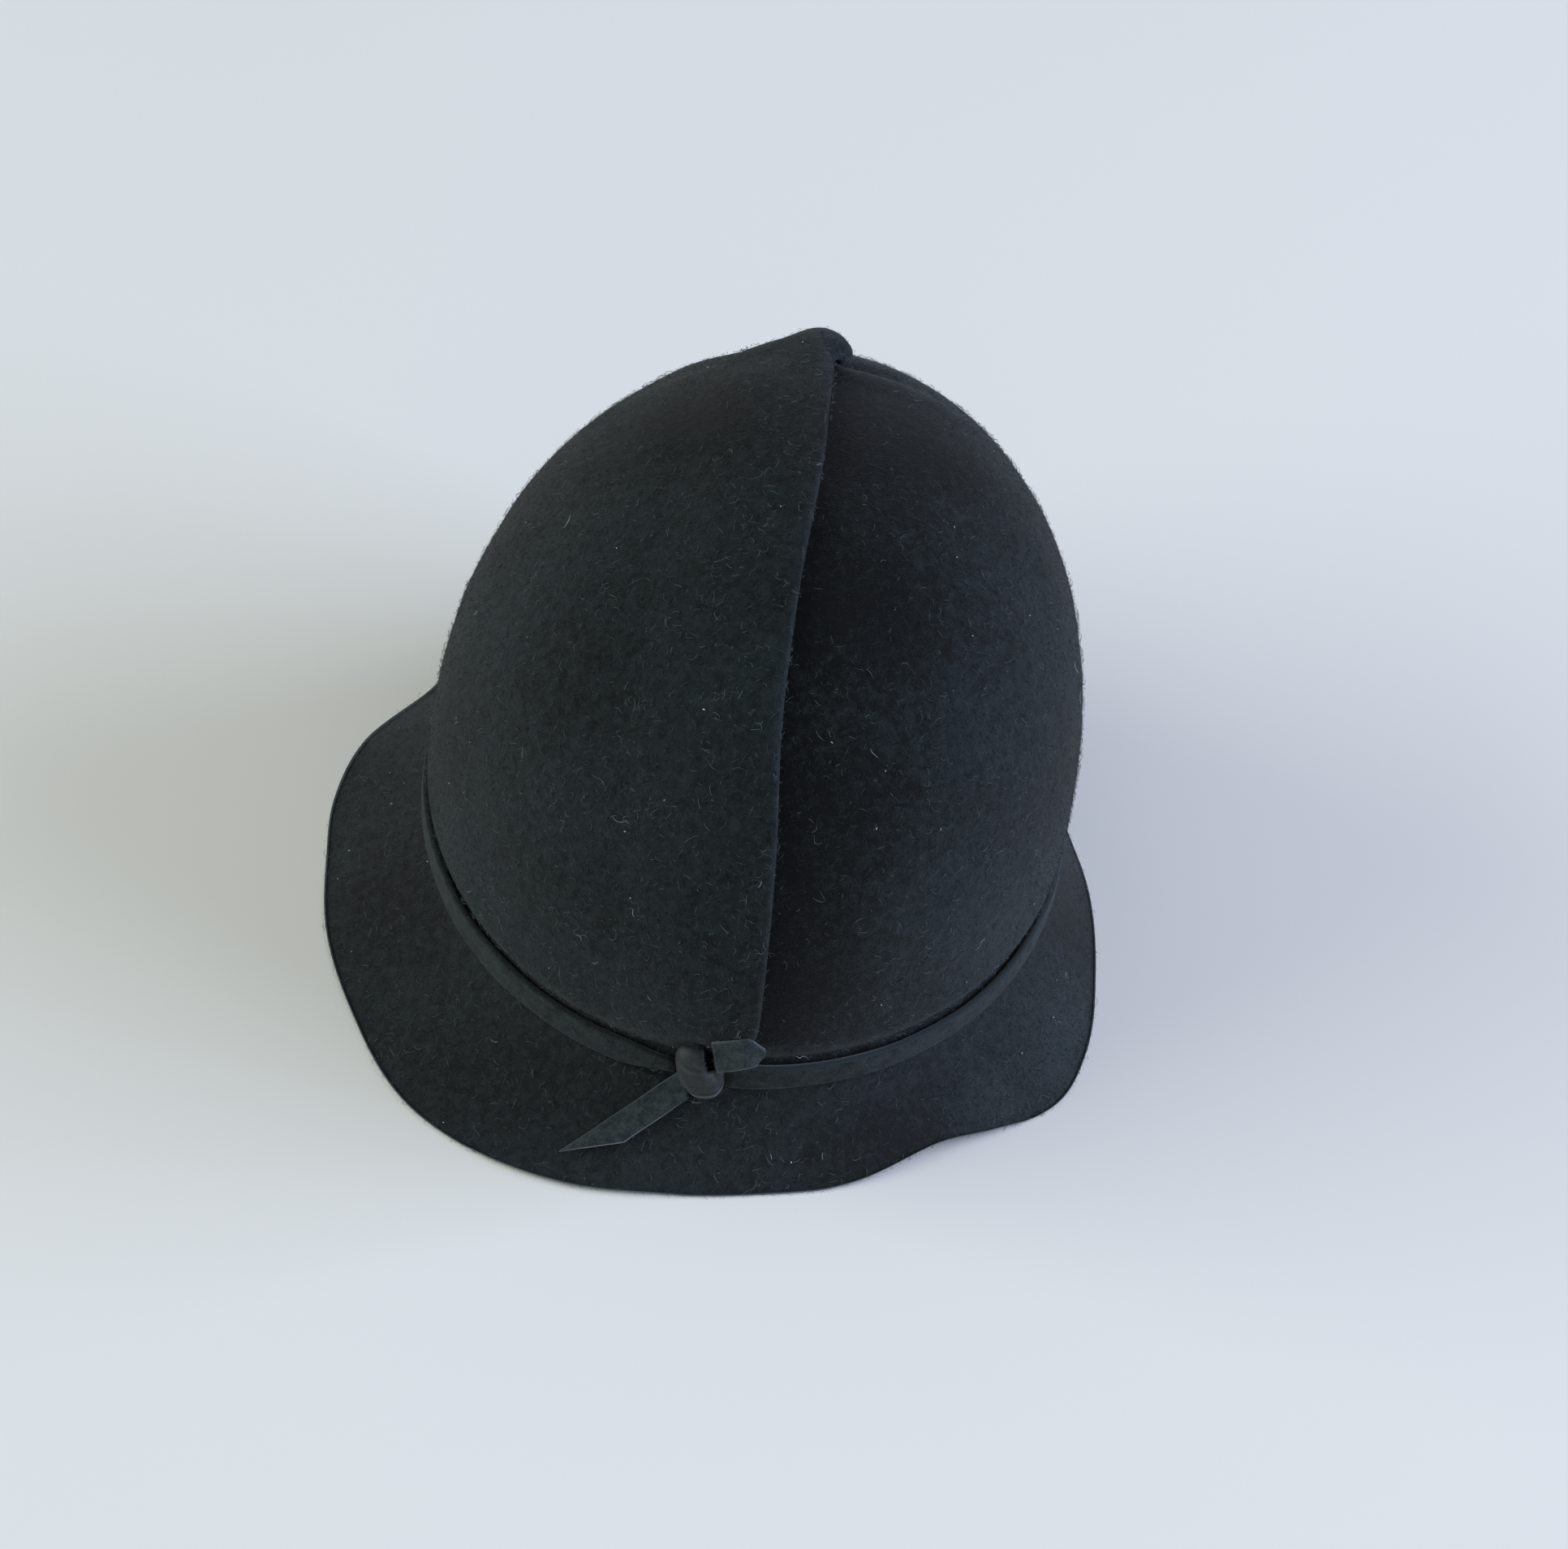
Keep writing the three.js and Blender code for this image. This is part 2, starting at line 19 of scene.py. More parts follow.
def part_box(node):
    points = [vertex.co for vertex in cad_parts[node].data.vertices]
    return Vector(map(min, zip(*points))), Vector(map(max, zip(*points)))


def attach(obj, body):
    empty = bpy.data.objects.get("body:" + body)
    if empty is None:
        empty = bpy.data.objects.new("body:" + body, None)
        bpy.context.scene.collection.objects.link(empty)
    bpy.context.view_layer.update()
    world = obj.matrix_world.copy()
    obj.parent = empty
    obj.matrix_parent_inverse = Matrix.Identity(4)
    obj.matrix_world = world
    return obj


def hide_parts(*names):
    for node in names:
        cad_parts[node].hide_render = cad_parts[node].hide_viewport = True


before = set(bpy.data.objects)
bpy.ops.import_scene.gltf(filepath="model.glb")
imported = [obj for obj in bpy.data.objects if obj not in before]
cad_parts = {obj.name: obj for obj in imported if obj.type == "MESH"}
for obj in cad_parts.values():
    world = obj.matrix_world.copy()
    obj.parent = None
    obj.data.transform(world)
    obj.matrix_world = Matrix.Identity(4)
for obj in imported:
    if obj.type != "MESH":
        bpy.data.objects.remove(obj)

LOG = logging.getLogger("cloche")
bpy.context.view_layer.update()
MM = 0.001
BODY = "root"
GROUND_CLEAR = 0.02

Array = np.ndarray

# Small steps along the felt from which its slopes are taken: a share down it and degrees
STEP_DOWN = 0.004
STEP_ROUND = 0.3
HALF_DEGREE = 0.5
# Rounds after which a result that is closed in on has settled, and the step of a search
FALL_ROUNDS = 4
HALVINGS = 20
SEARCH_STEP = 0.001
# Lengths that are too short to show and keep a division or a cross product from failing
NUDGE = 0.01
LEAST_LEVEL = 1e-6
LEAST_LENGTH = 1e-9
# Each random wander is a sum of waves, whose lengths are spread about the size asked for
WAVES = 9
WAVE_SPREAD = (0.6, 1.5)
WAVE_LEVEL = 3.5

# Brim edge by angle from the back: reach as a share of the brim's mean reach, and lift as a
# share of the brim's lift, where less than nothing lies flat on the surface
BRIM_EDGE = np.array([
    (-180, 1.05, -0.4), (-155, 0.9, 0.1), (-127, 0.68, 0.3), (-112, 0.93, -0.1),
    (-98, 0.99, -0.3), (-85, 0.98, 0.1), (-70, 1.07, 0.3), (-55, 1.14, 0.1),
    (-40, 1.27, -0.3), (-28, 1.19, 0.1), (-18, 1.04, 0.2), (-7, 0.8, 0.1),
    (4, 0.68, -0.3), (16, 0.68, 0.2), (28, 0.64, 0.9), (37, 0.78, 0.4),
    (47, 0.96, -0.3), (56, 0.88, 0.1), (72, 0.62, 0.3), (90, 0.46, 0.3),
    (106, 0.38, 0.1), (128, 0.52, 0.3), (154, 0.86, 0.1), (180, 1.05, -0.4),
])

# Line of the folded edge: share of the way up, and side shift as a share of the sway
TUCK_LINE = np.array([
    (0, 0.75), (0.15, 0.5), (0.3, 0), (0.45, -0.7), (0.6, -0.7), (0.75, -0.15), (0.9, 0.3),
    (1, 1),
])

# Profile across the tuck: shares of the depth, the ease, the round, the rise and the slit
TUCK_PROFILE = np.array([
    (1, 1, 0, 0, 0), (1, 0.5, 0, 0.45, 0), (1, 0, 0, 0.92, 0), (0.55, 0, 0, 1, 0),
    (0, 0, 1, 1, 0), (0, 0, 0.3, 0.86, 0.14), (0, 0, 0, 0.5, 0.5), (0, 0, 0.3, 0.14, 0.86),
    (0, 0, 1, 0, 1), (0.9, 0, 0, 0, 1), (0.96, 0, 0, 0, 0.5), (0.9, 0, 0, 0, 0),
    (0, 0, 1, 0, 0), (0, 0, -1.4, 0, 0), (0, 0, -5, 0, 0),
])

# Rows of that profile at the folded edge, and at the felt under it
FOLD_EDGE_ROW = 6
UNDER_FOLD_ROW = 8


class Wander(IntEnum):
    """Seed of each slow random change over the hat, so that all of them differ."""

    FELT_SLOW = 11
    FELT_QUICK = 12
    NAP_DRIFT = 13
    STRIP_BULGES = 21
    STRIP_WAVE = 22
    KNOT_BUMPS = 31
    END_CREASES = 41
    NAP_SWIRL = 51


# Section of the strip: across, out from the felt, and up, with softened cut corners
STRIP_SECTION = np.array([
    (0.55, 0), (0.85, 0.015), (0.97, 0.05), (1, 0.11), (1.04, 0.3), (1.06, 0.5), (1.04, 0.7),
    (1, 0.89), (0.97, 0.95), (0.85, 0.985), (0.55, 1), (0, 1), (0, 0.5), (0, 0),
])
STRIP_EDGE_SIDES = (0, 1, 8, 9, 10)

# Section of a cut end: across, from one cut side to the other, and up off the felt
END_SECTION = np.array([
    (-1, 0.1), (-1, 0.6), (-0.98, 0.84), (-0.92, 0.97), (-0.7, 1.02), (-0.35, 1.05), (0, 1.06),
    (0.35, 1.05), (0.7, 1.02), (0.92, 0.97), (0.98, 0.84), (1, 0.6), (1, 0.1), (0.9, 0),
    (0, 0), (-0.9, 0),
])
END_EDGE_SIDES = (0, 1, 2, 10, 11)

# Rings of the felt, as shares down it: 0 to 1 the crown, to 2 the strip's ring, to 3 the brim
CROWN_RINGS = np.concatenate([np.linspace(0.02, 0.22, 48), np.linspace(0.22, 1, 84)[1:]])
STRIP_RINGS = np.array([1.04, 1.08, 1.13, 1.18, 1.24, 1.32, 1.45, 1.7, 2.0])
BRIM_RINGS = np.concatenate([np.linspace(2.02, 2.94, 36), [2.965, 2.985]])
INSIDE_SPAN = 0.95
INSIDE_RINGS = np.concatenate([
    np.linspace(0.02, 1, 34), [1.5], np.linspace(2, 2 + INSIDE_SPAN, 12)])
UNDERSIDE_FROM = 2.3
PRESSED_FROM = 2.05

# Cut edge of the brim, from its top to its underside: out from the felt's edge, and up
RIM_CORNERS = ((0.0, 1.0), (-0.1, 0.45), (-0.3, 0.15), (-0.8, 0.0))

# Where a change fades in or out: a share down the felt, and the share that the fade takes
CROWN_UNEVEN_TO = (0.97, 0.06)
BRIM_UNEVEN_FROM = (2.1, 0.2)
BRIM_UNEVEN_TO = (2.95, 0.15)
PINCHED_FROM = (0.975, 0.03)
PINCHED_TO = (1.5, 0.3)
SHADED_TO = (1, 0.05)

# Painted light and shade on the felt's colour, lighter above nothing and darker below it: painted
# shade on the crown's top and in the brim's hollows, painted light on the flap beside the tuck,
# painted sheen just above the strip and a painted reflection of the right window on the brim.
# Each row: angle from the back and its spread, share down the felt and its spread, and the amount
PAINTED_LIGHT_PATCHES = np.array([
    (-20, 18, 0.26, 0.12, -0.6), (-12, 12, 0.65, 0.35, 0.3), (-50, 22, 0.93, 0.07, 0.5),
    (52, 20, 0.92, 0.08, 0.5), (52, 14, 2.75, 0.35, 1.1), (24, 12, 2.7, 0.4, -0.7),
    (-60, 30, 2.6, 0.5, -0.3), (38, 5, 2.85, 0.4, 0.8), (72, 9, 2.5, 0.4, -0.7),
])
# How far the random tone and the painted light and shade move the felt's colour, and the limits
# on how much they thin or crowd its nap and loose fibres
TONE_AND_LIGHT_SHARE = 0.5
TONE_AND_LIGHT_LIMITS = (0.1, 2)
# Spread of the fibres' widths about their mean
WIDTH_SPREAD = (0.7, 1.3)


def ease(x: Array) -> Array:
    """Return a smooth step of x from 0 to 1."""
    t = np.clip(x, 0, 1)
    return t * t * (3 - 2 * t)


def fade_in(share: Array, edge: tuple[float, float]) -> Array:
    """Return a smooth step up from 0, from the edge's share on."""
    return ease((share - edge[0]) / edge[1])


def fade_out(share: Array, edge: tuple[float, float]) -> Array:
    """Return a smooth step down to 0 at the edge's share."""
    return ease((edge[0] - share) / edge[1])


def half_turn(angle: Array) -> Array:
    """Return angles in degrees brought between -180 and 180."""
    return (np.asarray(angle) + 180) % 360 - 180


def blend(a: Array, b: Array, share: Array) -> Array:
    """Return the value that lies a share of the way from a to b."""
    return a + (b - a) * share


def unit(vectors: Array) -> Array:
    """Return the vectors at length 1."""
    length = np.linalg.norm(vectors, axis=-1, keepdims=True)
    return vectors / np.maximum(length, LEAST_LENGTH)


def hermite(keys: Array, values: Array, at: Array) -> Array:
    """Read a table smoothly.

    Args:
        keys: rising keys of the rows.
        values: value of each row.
        at: keys to read at.

    Returns:
        One value for each key in at.
    """
    at = np.asarray(at, float)
    last = len(keys) - 1
    i = np.clip(np.searchsorted(keys, at, side="right") - 1, 0, last - 1)
    before = np.maximum(np.arange(last + 1) - 1, 0)
    after = np.minimum(np.arange(last + 1) + 1, last)
    slope = (values[after] - values[before]) / (keys[after] - keys[before])
    span = keys[i + 1] - keys[i]
    t = np.clip((at - keys[i]) / span, 0, 1)
    back = (1 - t) ** 2
    start = (1 + 2 * t) * back * values[i] + t * back * span * slope[i]
    end = t * t * (3 - 2 * t) * values[i + 1] - t * t * (1 - t) * span * slope[i + 1]
    return start + end


def at_angle(angle: Array, radius: Array, height: Array) -> Array:
    """Return points at an angle from the back, a distance from the axis and a height."""
    turn = np.radians(angle)
    return np.stack(
        np.broadcast_arrays(radius * np.sin(turn), -radius * np.cos(turn), height), axis=-1)


def wander(points: Array, size: float, seed: int) -> Array:
    """Return a slow random value between about -1 and 1 at each point.

    Args:
        points: places, in millimetres.
        size: length over which the value changes, in millimetres.
        seed: seed of the random waves.

    Returns:
        One value for each point.
    """
    rng = np.random.default_rng(seed)
    waves = unit(rng.normal(size=(WAVES, 3))) * rng.uniform(*WAVE_SPREAD, (WAVES, 1))
    waves = waves * math.tau / size
    phases = rng.uniform(0, math.tau, WAVES)
    return np.sin(points @ waves.T + phases).sum(-1) / WAVE_LEVEL


@dataclass(frozen=True)
class HatForm:
    """Blocked form of the felt: sizes in millimetres, angles in degrees."""

    felt_thick: float = 2.2
    crown_left: float = 86
    crown_right: float = 89
    crown_back: float = 107
    crown_front: float = 103
    crown_rise: float = 115
    crown_fullness: float = 2.2
    crown_lean: float = 11
    lean_power: float = 1.5
    bulge_height: float = 8
    bulge_side: float = 1.5
    bulge_back: float = 2.6
    bulge_front: float = 2.5
    strip_width: float = 8.5
    brim_root: float = 22
    brim_reach: float = 28
    brim_lift: float = 4
    brim_turn: float = 0.18
    tuck_depth: float = 14
    tuck_rise: float = 4.6
    tuck_slit: float = 0.5
    tuck_ease: float = 26
    tuck_sway: float = 6
    tuck_end: float = 22
    tuck_angle: float = 75
    nub_rise: float = 2.4
    nub_wide: float = 12
    nub_start: float = 0.1
    nub_fade: float = 0.08
    ridge_rise: float = 1.5
    ridge_wide: float = 3.5
    valley_depth: float = 3.5
    valley_wide: float = 3.5
    valley_shift: float = 5.5
    valley_reach: float = 52
    ridge_drop: float = 5.5
    ridge_turn: float = 0.12
    close_angle: float = 38
    fold_start: float = 0.035
    fold_end: float = 0.985
    fold_fade: float = 0.045

    @property
    def strip_top(self) -> float:
        """Height of the strip's upper edge."""
        return self.brim_root + self.strip_width

    @property
    def widest_height(self) -> float:
        """Height of the crown's widest ring."""
        return self.strip_top + self.bulge_height

    @property
    def close(self) -> Array:
        """Direction in which the rings of the crown close."""
        tilt = math.radians(self.close_angle)
        return np.array([0, math.sin(tilt), math.cos(tilt)])

    def widest(self, angle: Array) -> Array:
        """Return the radius of the widest ring at each angle."""
        across, along = np.sin(np.radians(angle)), np.cos(np.radians(angle))
        half = np.where(across < 0, self.crown_left, self.crown_right)
        length = np.where(along > 0, self.crown_back, self.crown_front)
        return 1 / np.hypot(across / half, along / length)

    def bulge(self, angle: Array) -> Array:
        """Return how far the widest ring stands out over the ring under the strip."""
        along = np.cos(np.radians(angle))
        end = np.where(along > 0, self.bulge_back, self.bulge_front)
        return blend(self.bulge_side, end, along * along)

    def ring_radius(self, angle: Array) -> Array:
        """Return the radius of the ring under the strip."""
        return self.widest(angle) - self.bulge(angle)

    def crown_along(self, direction: Array) -> Array:
        """Return the plain crown's surface in each direction from the widest ring's centre."""
        angle = np.degrees(np.arctan2(direction[..., 0], -direction[..., 1]))
        level = np.hypot(direction[..., 0], direction[..., 1])
        rise = direction[..., 2]
        full = self.widest(angle)
        n = self.crown_fullness
        upper = ((level / full) ** n + (np.maximum(rise, 0) / self.crown_rise) ** n) ** (-1 / n)
        fall = np.maximum(-rise, 0) / np.maximum(level, LEAST_LEVEL)
        radius = full
        for _ in range(FALL_ROUNDS):
            radius = full - self.bulge(angle) * (radius * fall / self.bulge_height) ** 2
        reach = np.where(rise >= 0, upper, radius / np.maximum(level, LEAST_LEVEL))
        point = direction * reach[..., None]
        total = self.bulge_height + self.crown_rise
        height = np.maximum(point[..., 2] + self.bulge_height, 0) / total
        point[..., 0] += self.crown_lean * height ** self.lean_power
        point[..., 2] += self.widest_height
        return point

    def fold_height(self, direction: Array) -> Array:
        """Return the height that the crosswise ridge and valley add in each direction."""
        slope = np.degrees(np.arctan2(direction[..., 1], direction[..., 2]))
        across = direction[..., 0] * self.crown_rise / self.valley_reach
        slope = slope + self.ridge_drop * ease(across / self.ridge_turn)
        fade = 1 - ease(np.abs(across))
        ridge = np.exp(-(((slope - self.tuck_end) / self.ridge_wide) ** 2))
        valley = np.exp(-(((slope - self.tuck_end - self.valley_shift) / self.valley_wide) ** 2))
        return fade * (self.ridge_rise * ridge - self.valley_depth * valley)

    def crown_direction(self, angle: Array, share: Array) -> Array:
        """Return the direction a share of the way from the closed top to the strip's ring."""
        foot = unit(at_angle(angle, self.ring_radius(angle), -self.bulge_height))
        turn = np.arccos(np.clip(foot @ self.close, -1, 1))
        first = np.sin((1 - share) * turn)[..., None] * self.close
        return (first + np.sin(share * turn)[..., None] * foot) / np.sin(turn)[..., None]

    def lift(self, angle: Array) -> Array:
        """Return how high the brim's edge stands off the surface."""
        rise = hermite(BRIM_EDGE[:, 0], BRIM_EDGE[:, 2], half_turn(angle))
        return self.brim_lift * np.maximum(rise, 0)

    def felt(self, angle: Array, share: Array) -> Array:
        """Return the outside of the plain felt.

        Args:
            angle: degrees from the back.
            share: 0 to 1 down the crown, to 2 down the strip's ring, to 3 out along the brim.

        Returns:
            One point for each pair of angle and share.
        """
        angle, share = np.broadcast_arrays(np.asarray(angle, float), np.asarray(share, float))
        direction = self.crown_direction(angle, np.minimum(share, 1))
        crown = self.crown_along(direction) + direction * self.fold_height(direction)[..., None]
        ring_radius = self.ring_radius(angle)
        ring = at_angle(angle, ring_radius, blend(self.strip_top, self.brim_root, share - 1))
        out = np.clip(share - 2, 0, 1)
        reach = self.brim_reach * hermite(
            BRIM_EDGE[:, 0], BRIM_EDGE[:, 1], half_turn(angle))
        radius = ring_radius + reach * out * out * (1 + self.brim_turn) / (out + self.brim_turn)
        brim = at_angle(angle, radius, blend(self.brim_root, self.lift(angle), out))
        below = np.where((share <= 2)[..., None], ring, brim)
        return np.where((share <= 1)[..., None], crown, below)

    def normal(self, angle: Array, share: Array) -> Array:
        """Return the outward direction of the plain felt."""
        angle, share = np.broadcast_arrays(np.asarray(angle, float), np.asarray(share, float))
        around = self.felt(angle + STEP_ROUND, share) - self.felt(angle - STEP_ROUND, share)
        down = (self.felt(angle, np.minimum(share + STEP_DOWN, 3))
                - self.felt(angle, np.maximum(share - STEP_DOWN, STEP_DOWN)))
        return unit(np.cross(down, around))

    def stand_out(self, angle: float, height: Array) -> Array:
        """Return how far the felt stands out over the ring under the strip at a height."""
        above = self.bulge(angle) * (
            1 - (np.maximum(self.widest_height - height, 0) / self.bulge_height) ** 2)
        lift = self.lift(angle)
        share = np.clip(2 + (self.brim_root - height) / (self.brim_root - lift), 2, 3)
        point = self.felt(angle, share)
        below = np.hypot(point[..., 0], point[..., 1]) - self.ring_radius(angle)
        middle = np.where(height > self.brim_root, 0, below)
        return np.where(height > self.strip_top, above, middle)

    def tuck_top(self) -> float:
        """Return the share at which the tuck meets the nub."""
        shares = np.arange(SEARCH_STEP, 1, SEARCH_STEP)
        direction = self.crown_direction(0.0, shares)
        slope = np.degrees(np.arctan2(direction[:, 1], direction[:, 2]))
        return float(shares[np.argmax(slope < self.tuck_end)])

    def tuck_profile(self, per_step: int) -> tuple[Array, Array]:
        """Divide the profile across the tuck finely.

        Args:
            per_step: points for each row of the table.

        Returns:
            The profile's five shares at each point, and each point's place from 0 to 1.
        """
        round_off = (self.tuck_rise - self.tuck_slit) / 2
        across = TUCK_PROFILE[:, :3] @ np.array([self.tuck_depth, self.tuck_ease, round_off])
        height = TUCK_PROFILE[:, 3:] @ np.array([self.tuck_rise, self.tuck_slit])
        keys = np.concatenate([[0], np.cumsum(np.hypot(np.diff(across), np.diff(height)))])
        rows = len(keys) - 1
        index = np.linspace(0, rows, rows * per_step + 1)
        at = np.interp(index, np.arange(rows + 1), keys)
        fine = np.stack([hermite(keys, column, at) for column in TUCK_PROFILE.T], axis=-1)
        return fine, index / rows

    def columns(self, share: Array, folded: bool, per_step: int,
                plain: int) -> tuple[Array, Array]:
        """Lay out the columns of each ring, dense through the tuck.

        Args:
            share: share of each ring.
            folded: whether the tuck is folded or only drawn flat.
            per_step: columns for each row of the tuck's profile.
            plain: columns round the rest of the ring.

        Returns:
            Angle of each column and its height over the plain felt, ring by ring.
        """
        on_crown = np.minimum(share, 1)
        gap = np.linalg.norm(
            self.felt(HALF_DEGREE, on_crown) - self.felt(-HALF_DEGREE, on_crown), axis=-1)
        per_radian = gap / math.radians(1)
        span = self.tuck_depth + self.tuck_ease
        fit = np.minimum(1, per_radian * math.radians(self.tuck_angle) / span)
        top = self.tuck_top()
        up = np.clip((1 - on_crown) / (1 - top), 0, 1)
        line = self.tuck_sway * hermite(TUCK_LINE[:, 0], TUCK_LINE[:, 1], up)
        fold = (ease((share - top + self.fold_start) / self.fold_start)
                * ease((self.fold_end - share) / self.fold_fade)) * folded
        nub = self.nub_rise * ease((self.nub_start - share + top) / self.nub_fade)
        profile, place = self.tuck_profile(per_step)
        depth, slack, rounding, rise, slit = profile.T
        round_off = (self.tuck_rise - self.tuck_slit) / 2
        flat = blend(-span, -TUCK_PROFILE[-1, 2] * round_off, place)
        bent = -(depth * self.tuck_depth + slack * self.tuck_ease + rounding * round_off)
        lobe = np.exp(-(((2 * bent + self.nub_wide) / self.nub_wide) ** 2))
        lifted = self.tuck_rise + nub[:, None] * lobe
        side = (line[:, None] + blend(flat, bent, fold[:, None])) * fit[:, None]
        angle = np.degrees(side / per_radian[:, None])
        height = fold[:, None] * (rise * lifted + slit * self.tuck_slit)
        sweep = 360 + angle[:, :1] - angle[:, -1:]
        rest = angle[:, -1:] + sweep * np.arange(1, plain) / plain
        return (np.concatenate([angle, rest], axis=1),
                np.concatenate([height, np.zeros_like(rest)], axis=1))

    def underside_end(self, angle: Array) -> Array:
        """Return the share at which the brim's underside meets the level of its edge."""
        level = self.lift(angle)
        low, high = np.full_like(angle, UNDERSIDE_FROM), np.full_like(angle, 3.0)
        for _ in range(HALVINGS):
            middle = (low + high) / 2
            under = self.felt(angle, middle) - self.normal(angle, middle) * self.felt_thick
            above = under[..., 2] > level
            low, high = np.where(above, middle, low), np.where(above, high, middle)
        return low


@dataclass
class Surface:
    """A shell of points and faces, in millimetres, with a finish number for each face."""

    points: Array
    triangles: Array
    quads: Array
    slots: Array | None = None
    # Random tone with painted light and shade at each point of the felt
    tone_and_painted_light: Array | None = None

    def scatter(self, rng: np.random.Generator, count: int, quads: Array) -> tuple[Array, Array]:
        """Pick places over some of the faces by area, more where tone and painted light make the
        felt lighter.

        Args:
            rng: seeded random source.
            count: number of places.
            quads: faces to pick from.

        Returns:
            The places and their outward directions.
        """
        a, b, c, d = (self.points[quads[:, i]] for i in range(4))
        across, along = (b + c - a - d) / 2, (c + d - a - b) / 2
        area = np.linalg.norm(np.cross(across, along), axis=-1)
        if self.tone_and_painted_light is not None:
            area = area * np.clip(1 + self.tone_and_painted_light[quads].mean(1), *TONE_AND_LIGHT_LIMITS)
        pick = rng.choice(len(quads), count, p=area / area.sum())
        u, v = rng.random((2, count, 1))
        low, high = blend(a[pick], b[pick], u), blend(d[pick], c[pick], u)
        return blend(low, high, v), unit(np.cross(across, along)[pick])


def closed_rings(rings: Array, first: Array, last: Array) -> Surface:
    """Close a stack of rings with an end point before the first and after the last."""
    count, size = rings.shape[:2]
    points = np.concatenate([first[None], rings.reshape(-1, 3), last[None]])
    i = np.arange(size)
    after = (i + 1) % size
    end = 1 + (count - 1) * size
    start_cap = np.stack([np.zeros(size, int), 1 + i, 1 + after], axis=-1)
    end_cap = np.stack([end + i, np.full(size, len(points) - 1), end + after], axis=-1)
    base = 1 + size * np.arange(count - 1)[:, None]
    quads = np.stack([base + i, base + size + i, base + size + after, base + after], axis=-1)
    return Surface(points, np.concatenate([start_cap, end_cap]), quads.reshape(-1, 4))


def add_mesh(name: str, surface: Surface, offset: Array, materials: list) -> bpy.types.Object:
    """Make a mesh object of a surface.

    Args:
        name: name of the piece.
        surface: shape in millimetres.
        offset: move into the row frame, in millimetres.
        materials: one material for each finish number.

    Returns:
        The object, linked into the scene.
    """
    mesh = bpy.data.meshes.new(name)
    mesh.vertices.add(len(surface.points))
    mesh.vertices.foreach_set("co", ((surface.points + offset) * MM).astype(np.float32).ravel())
    corners = np.concatenate([surface.triangles.ravel(), surface.quads.ravel()])
    sizes = np.concatenate([np.full(len(surface.triangles), 3), np.full(len(surface.quads), 4)])
    mesh.loops.add(len(corners))
    mesh.loops.foreach_set("vertex_index", corners.astype(np.int32))
    mesh.polygons.add(len(sizes))
    mesh.polygons.foreach_set("loop_start", (np.cumsum(sizes) - sizes).astype(np.int32))
    mesh.polygons.foreach_set("use_smooth", np.ones(len(sizes), bool))
    for material in materials:
        mesh.materials.append(material)
    if surface.slots is not None:
        mesh.polygons.foreach_set("material_index", surface.slots.astype(np.int32))
    # The felt's tone and painted light and shade go to its material as a point attribute
    if surface.tone_and_painted_light is not None:
        mesh.attributes.new("tone_and_painted_light", "FLOAT", "POINT").data.foreach_set(
            "value", surface.tone_and_painted_light.astype(np.float32))
    mesh.update(calc_edges=True)
    mesh.validate()
    piece = bpy.data.objects.new(name, mesh)
    bpy.context.collection.objects.link(piece)
    return piece


# Curve of a display's colours: a straight start up to a knee, and a power above it
KNEE = 0.04045
START_SLOPE = 12.92
CURVE_SHIFT = 0.055
CURVE_POWER = 2.4
FULL_BYTE = 255


def linear(code: str) -> tuple[float, float, float, float]:
    """Return the linear colour of an sRGB hex code."""
    parts = [byte / FULL_BYTE for byte in bytes.fromhex(code)]
    red, green, blue = (
        part / START_SLOPE if part <= KNEE
        else ((part + CURVE_SHIFT) / (1 + CURVE_SHIFT)) ** CURVE_POWER for part in parts)
    return (red, green, blue, 1.0)


def per_metre(size: float) -> float:
    """Return the texture scale of a pattern whose size is given in millimetres."""
    return 1 / (size * MM)


def add_node(tree: bpy.types.NodeTree, kind: str, inputs: dict, **settings) -> bpy.types.Node:
    """Add a node to a tree.

    Args:
        tree: node tree of a material or of the world.
        kind: type name of the node.
        inputs: value or source socket for each input, by name or number.
        settings: properties of the node.

    Returns:
        The node.
    """
    node = tree.nodes.new(kind)
    for key, value in settings.items():
        setattr(node, key, value)
    for key, value in inputs.items():
        if isinstance(value, bpy.types.NodeSocket):
            tree.links.new(value, node.inputs[key])
        else:
            node.inputs[key].default_value = value
    return node


@dataclass(frozen=True)
class PlainFinish:
    """A finish of one even colour."""

    name: str
    colour: str
    roughness: float = 0.95
    specular: float = 0.1
    sheen: float = 0.0
    sheen_roughness: float = 0.5

    def shader_inputs(self) -> dict:
        """Return the settings of the shader's own sockets."""
        return {
            "Base Color": linear(self.colour), "Roughness": self.roughness,
            "Specular IOR Level": self.specular, "Sheen Weight": self.sheen,
            "Sheen Roughness": self.sheen_roughness,
        }

    def material(self) -> bpy.types.Material:
        """Return the finished material."""
        made = bpy.data.materials.new(self.name)
        made.use_nodes = True
        tree = made.node_tree
        tree.nodes.clear()
        shader = add_node(tree, "ShaderNodeBsdfPrincipled", self.shader_inputs())
        self.dress(tree, shader)
        add_node(tree, "ShaderNodeOutputMaterial", {"Surface": shader.outputs[0]})
        return made

    def dress(self, tree: bpy.types.NodeTree, shader: bpy.types.Node) -> None:
        """Leave an even finish as it is."""


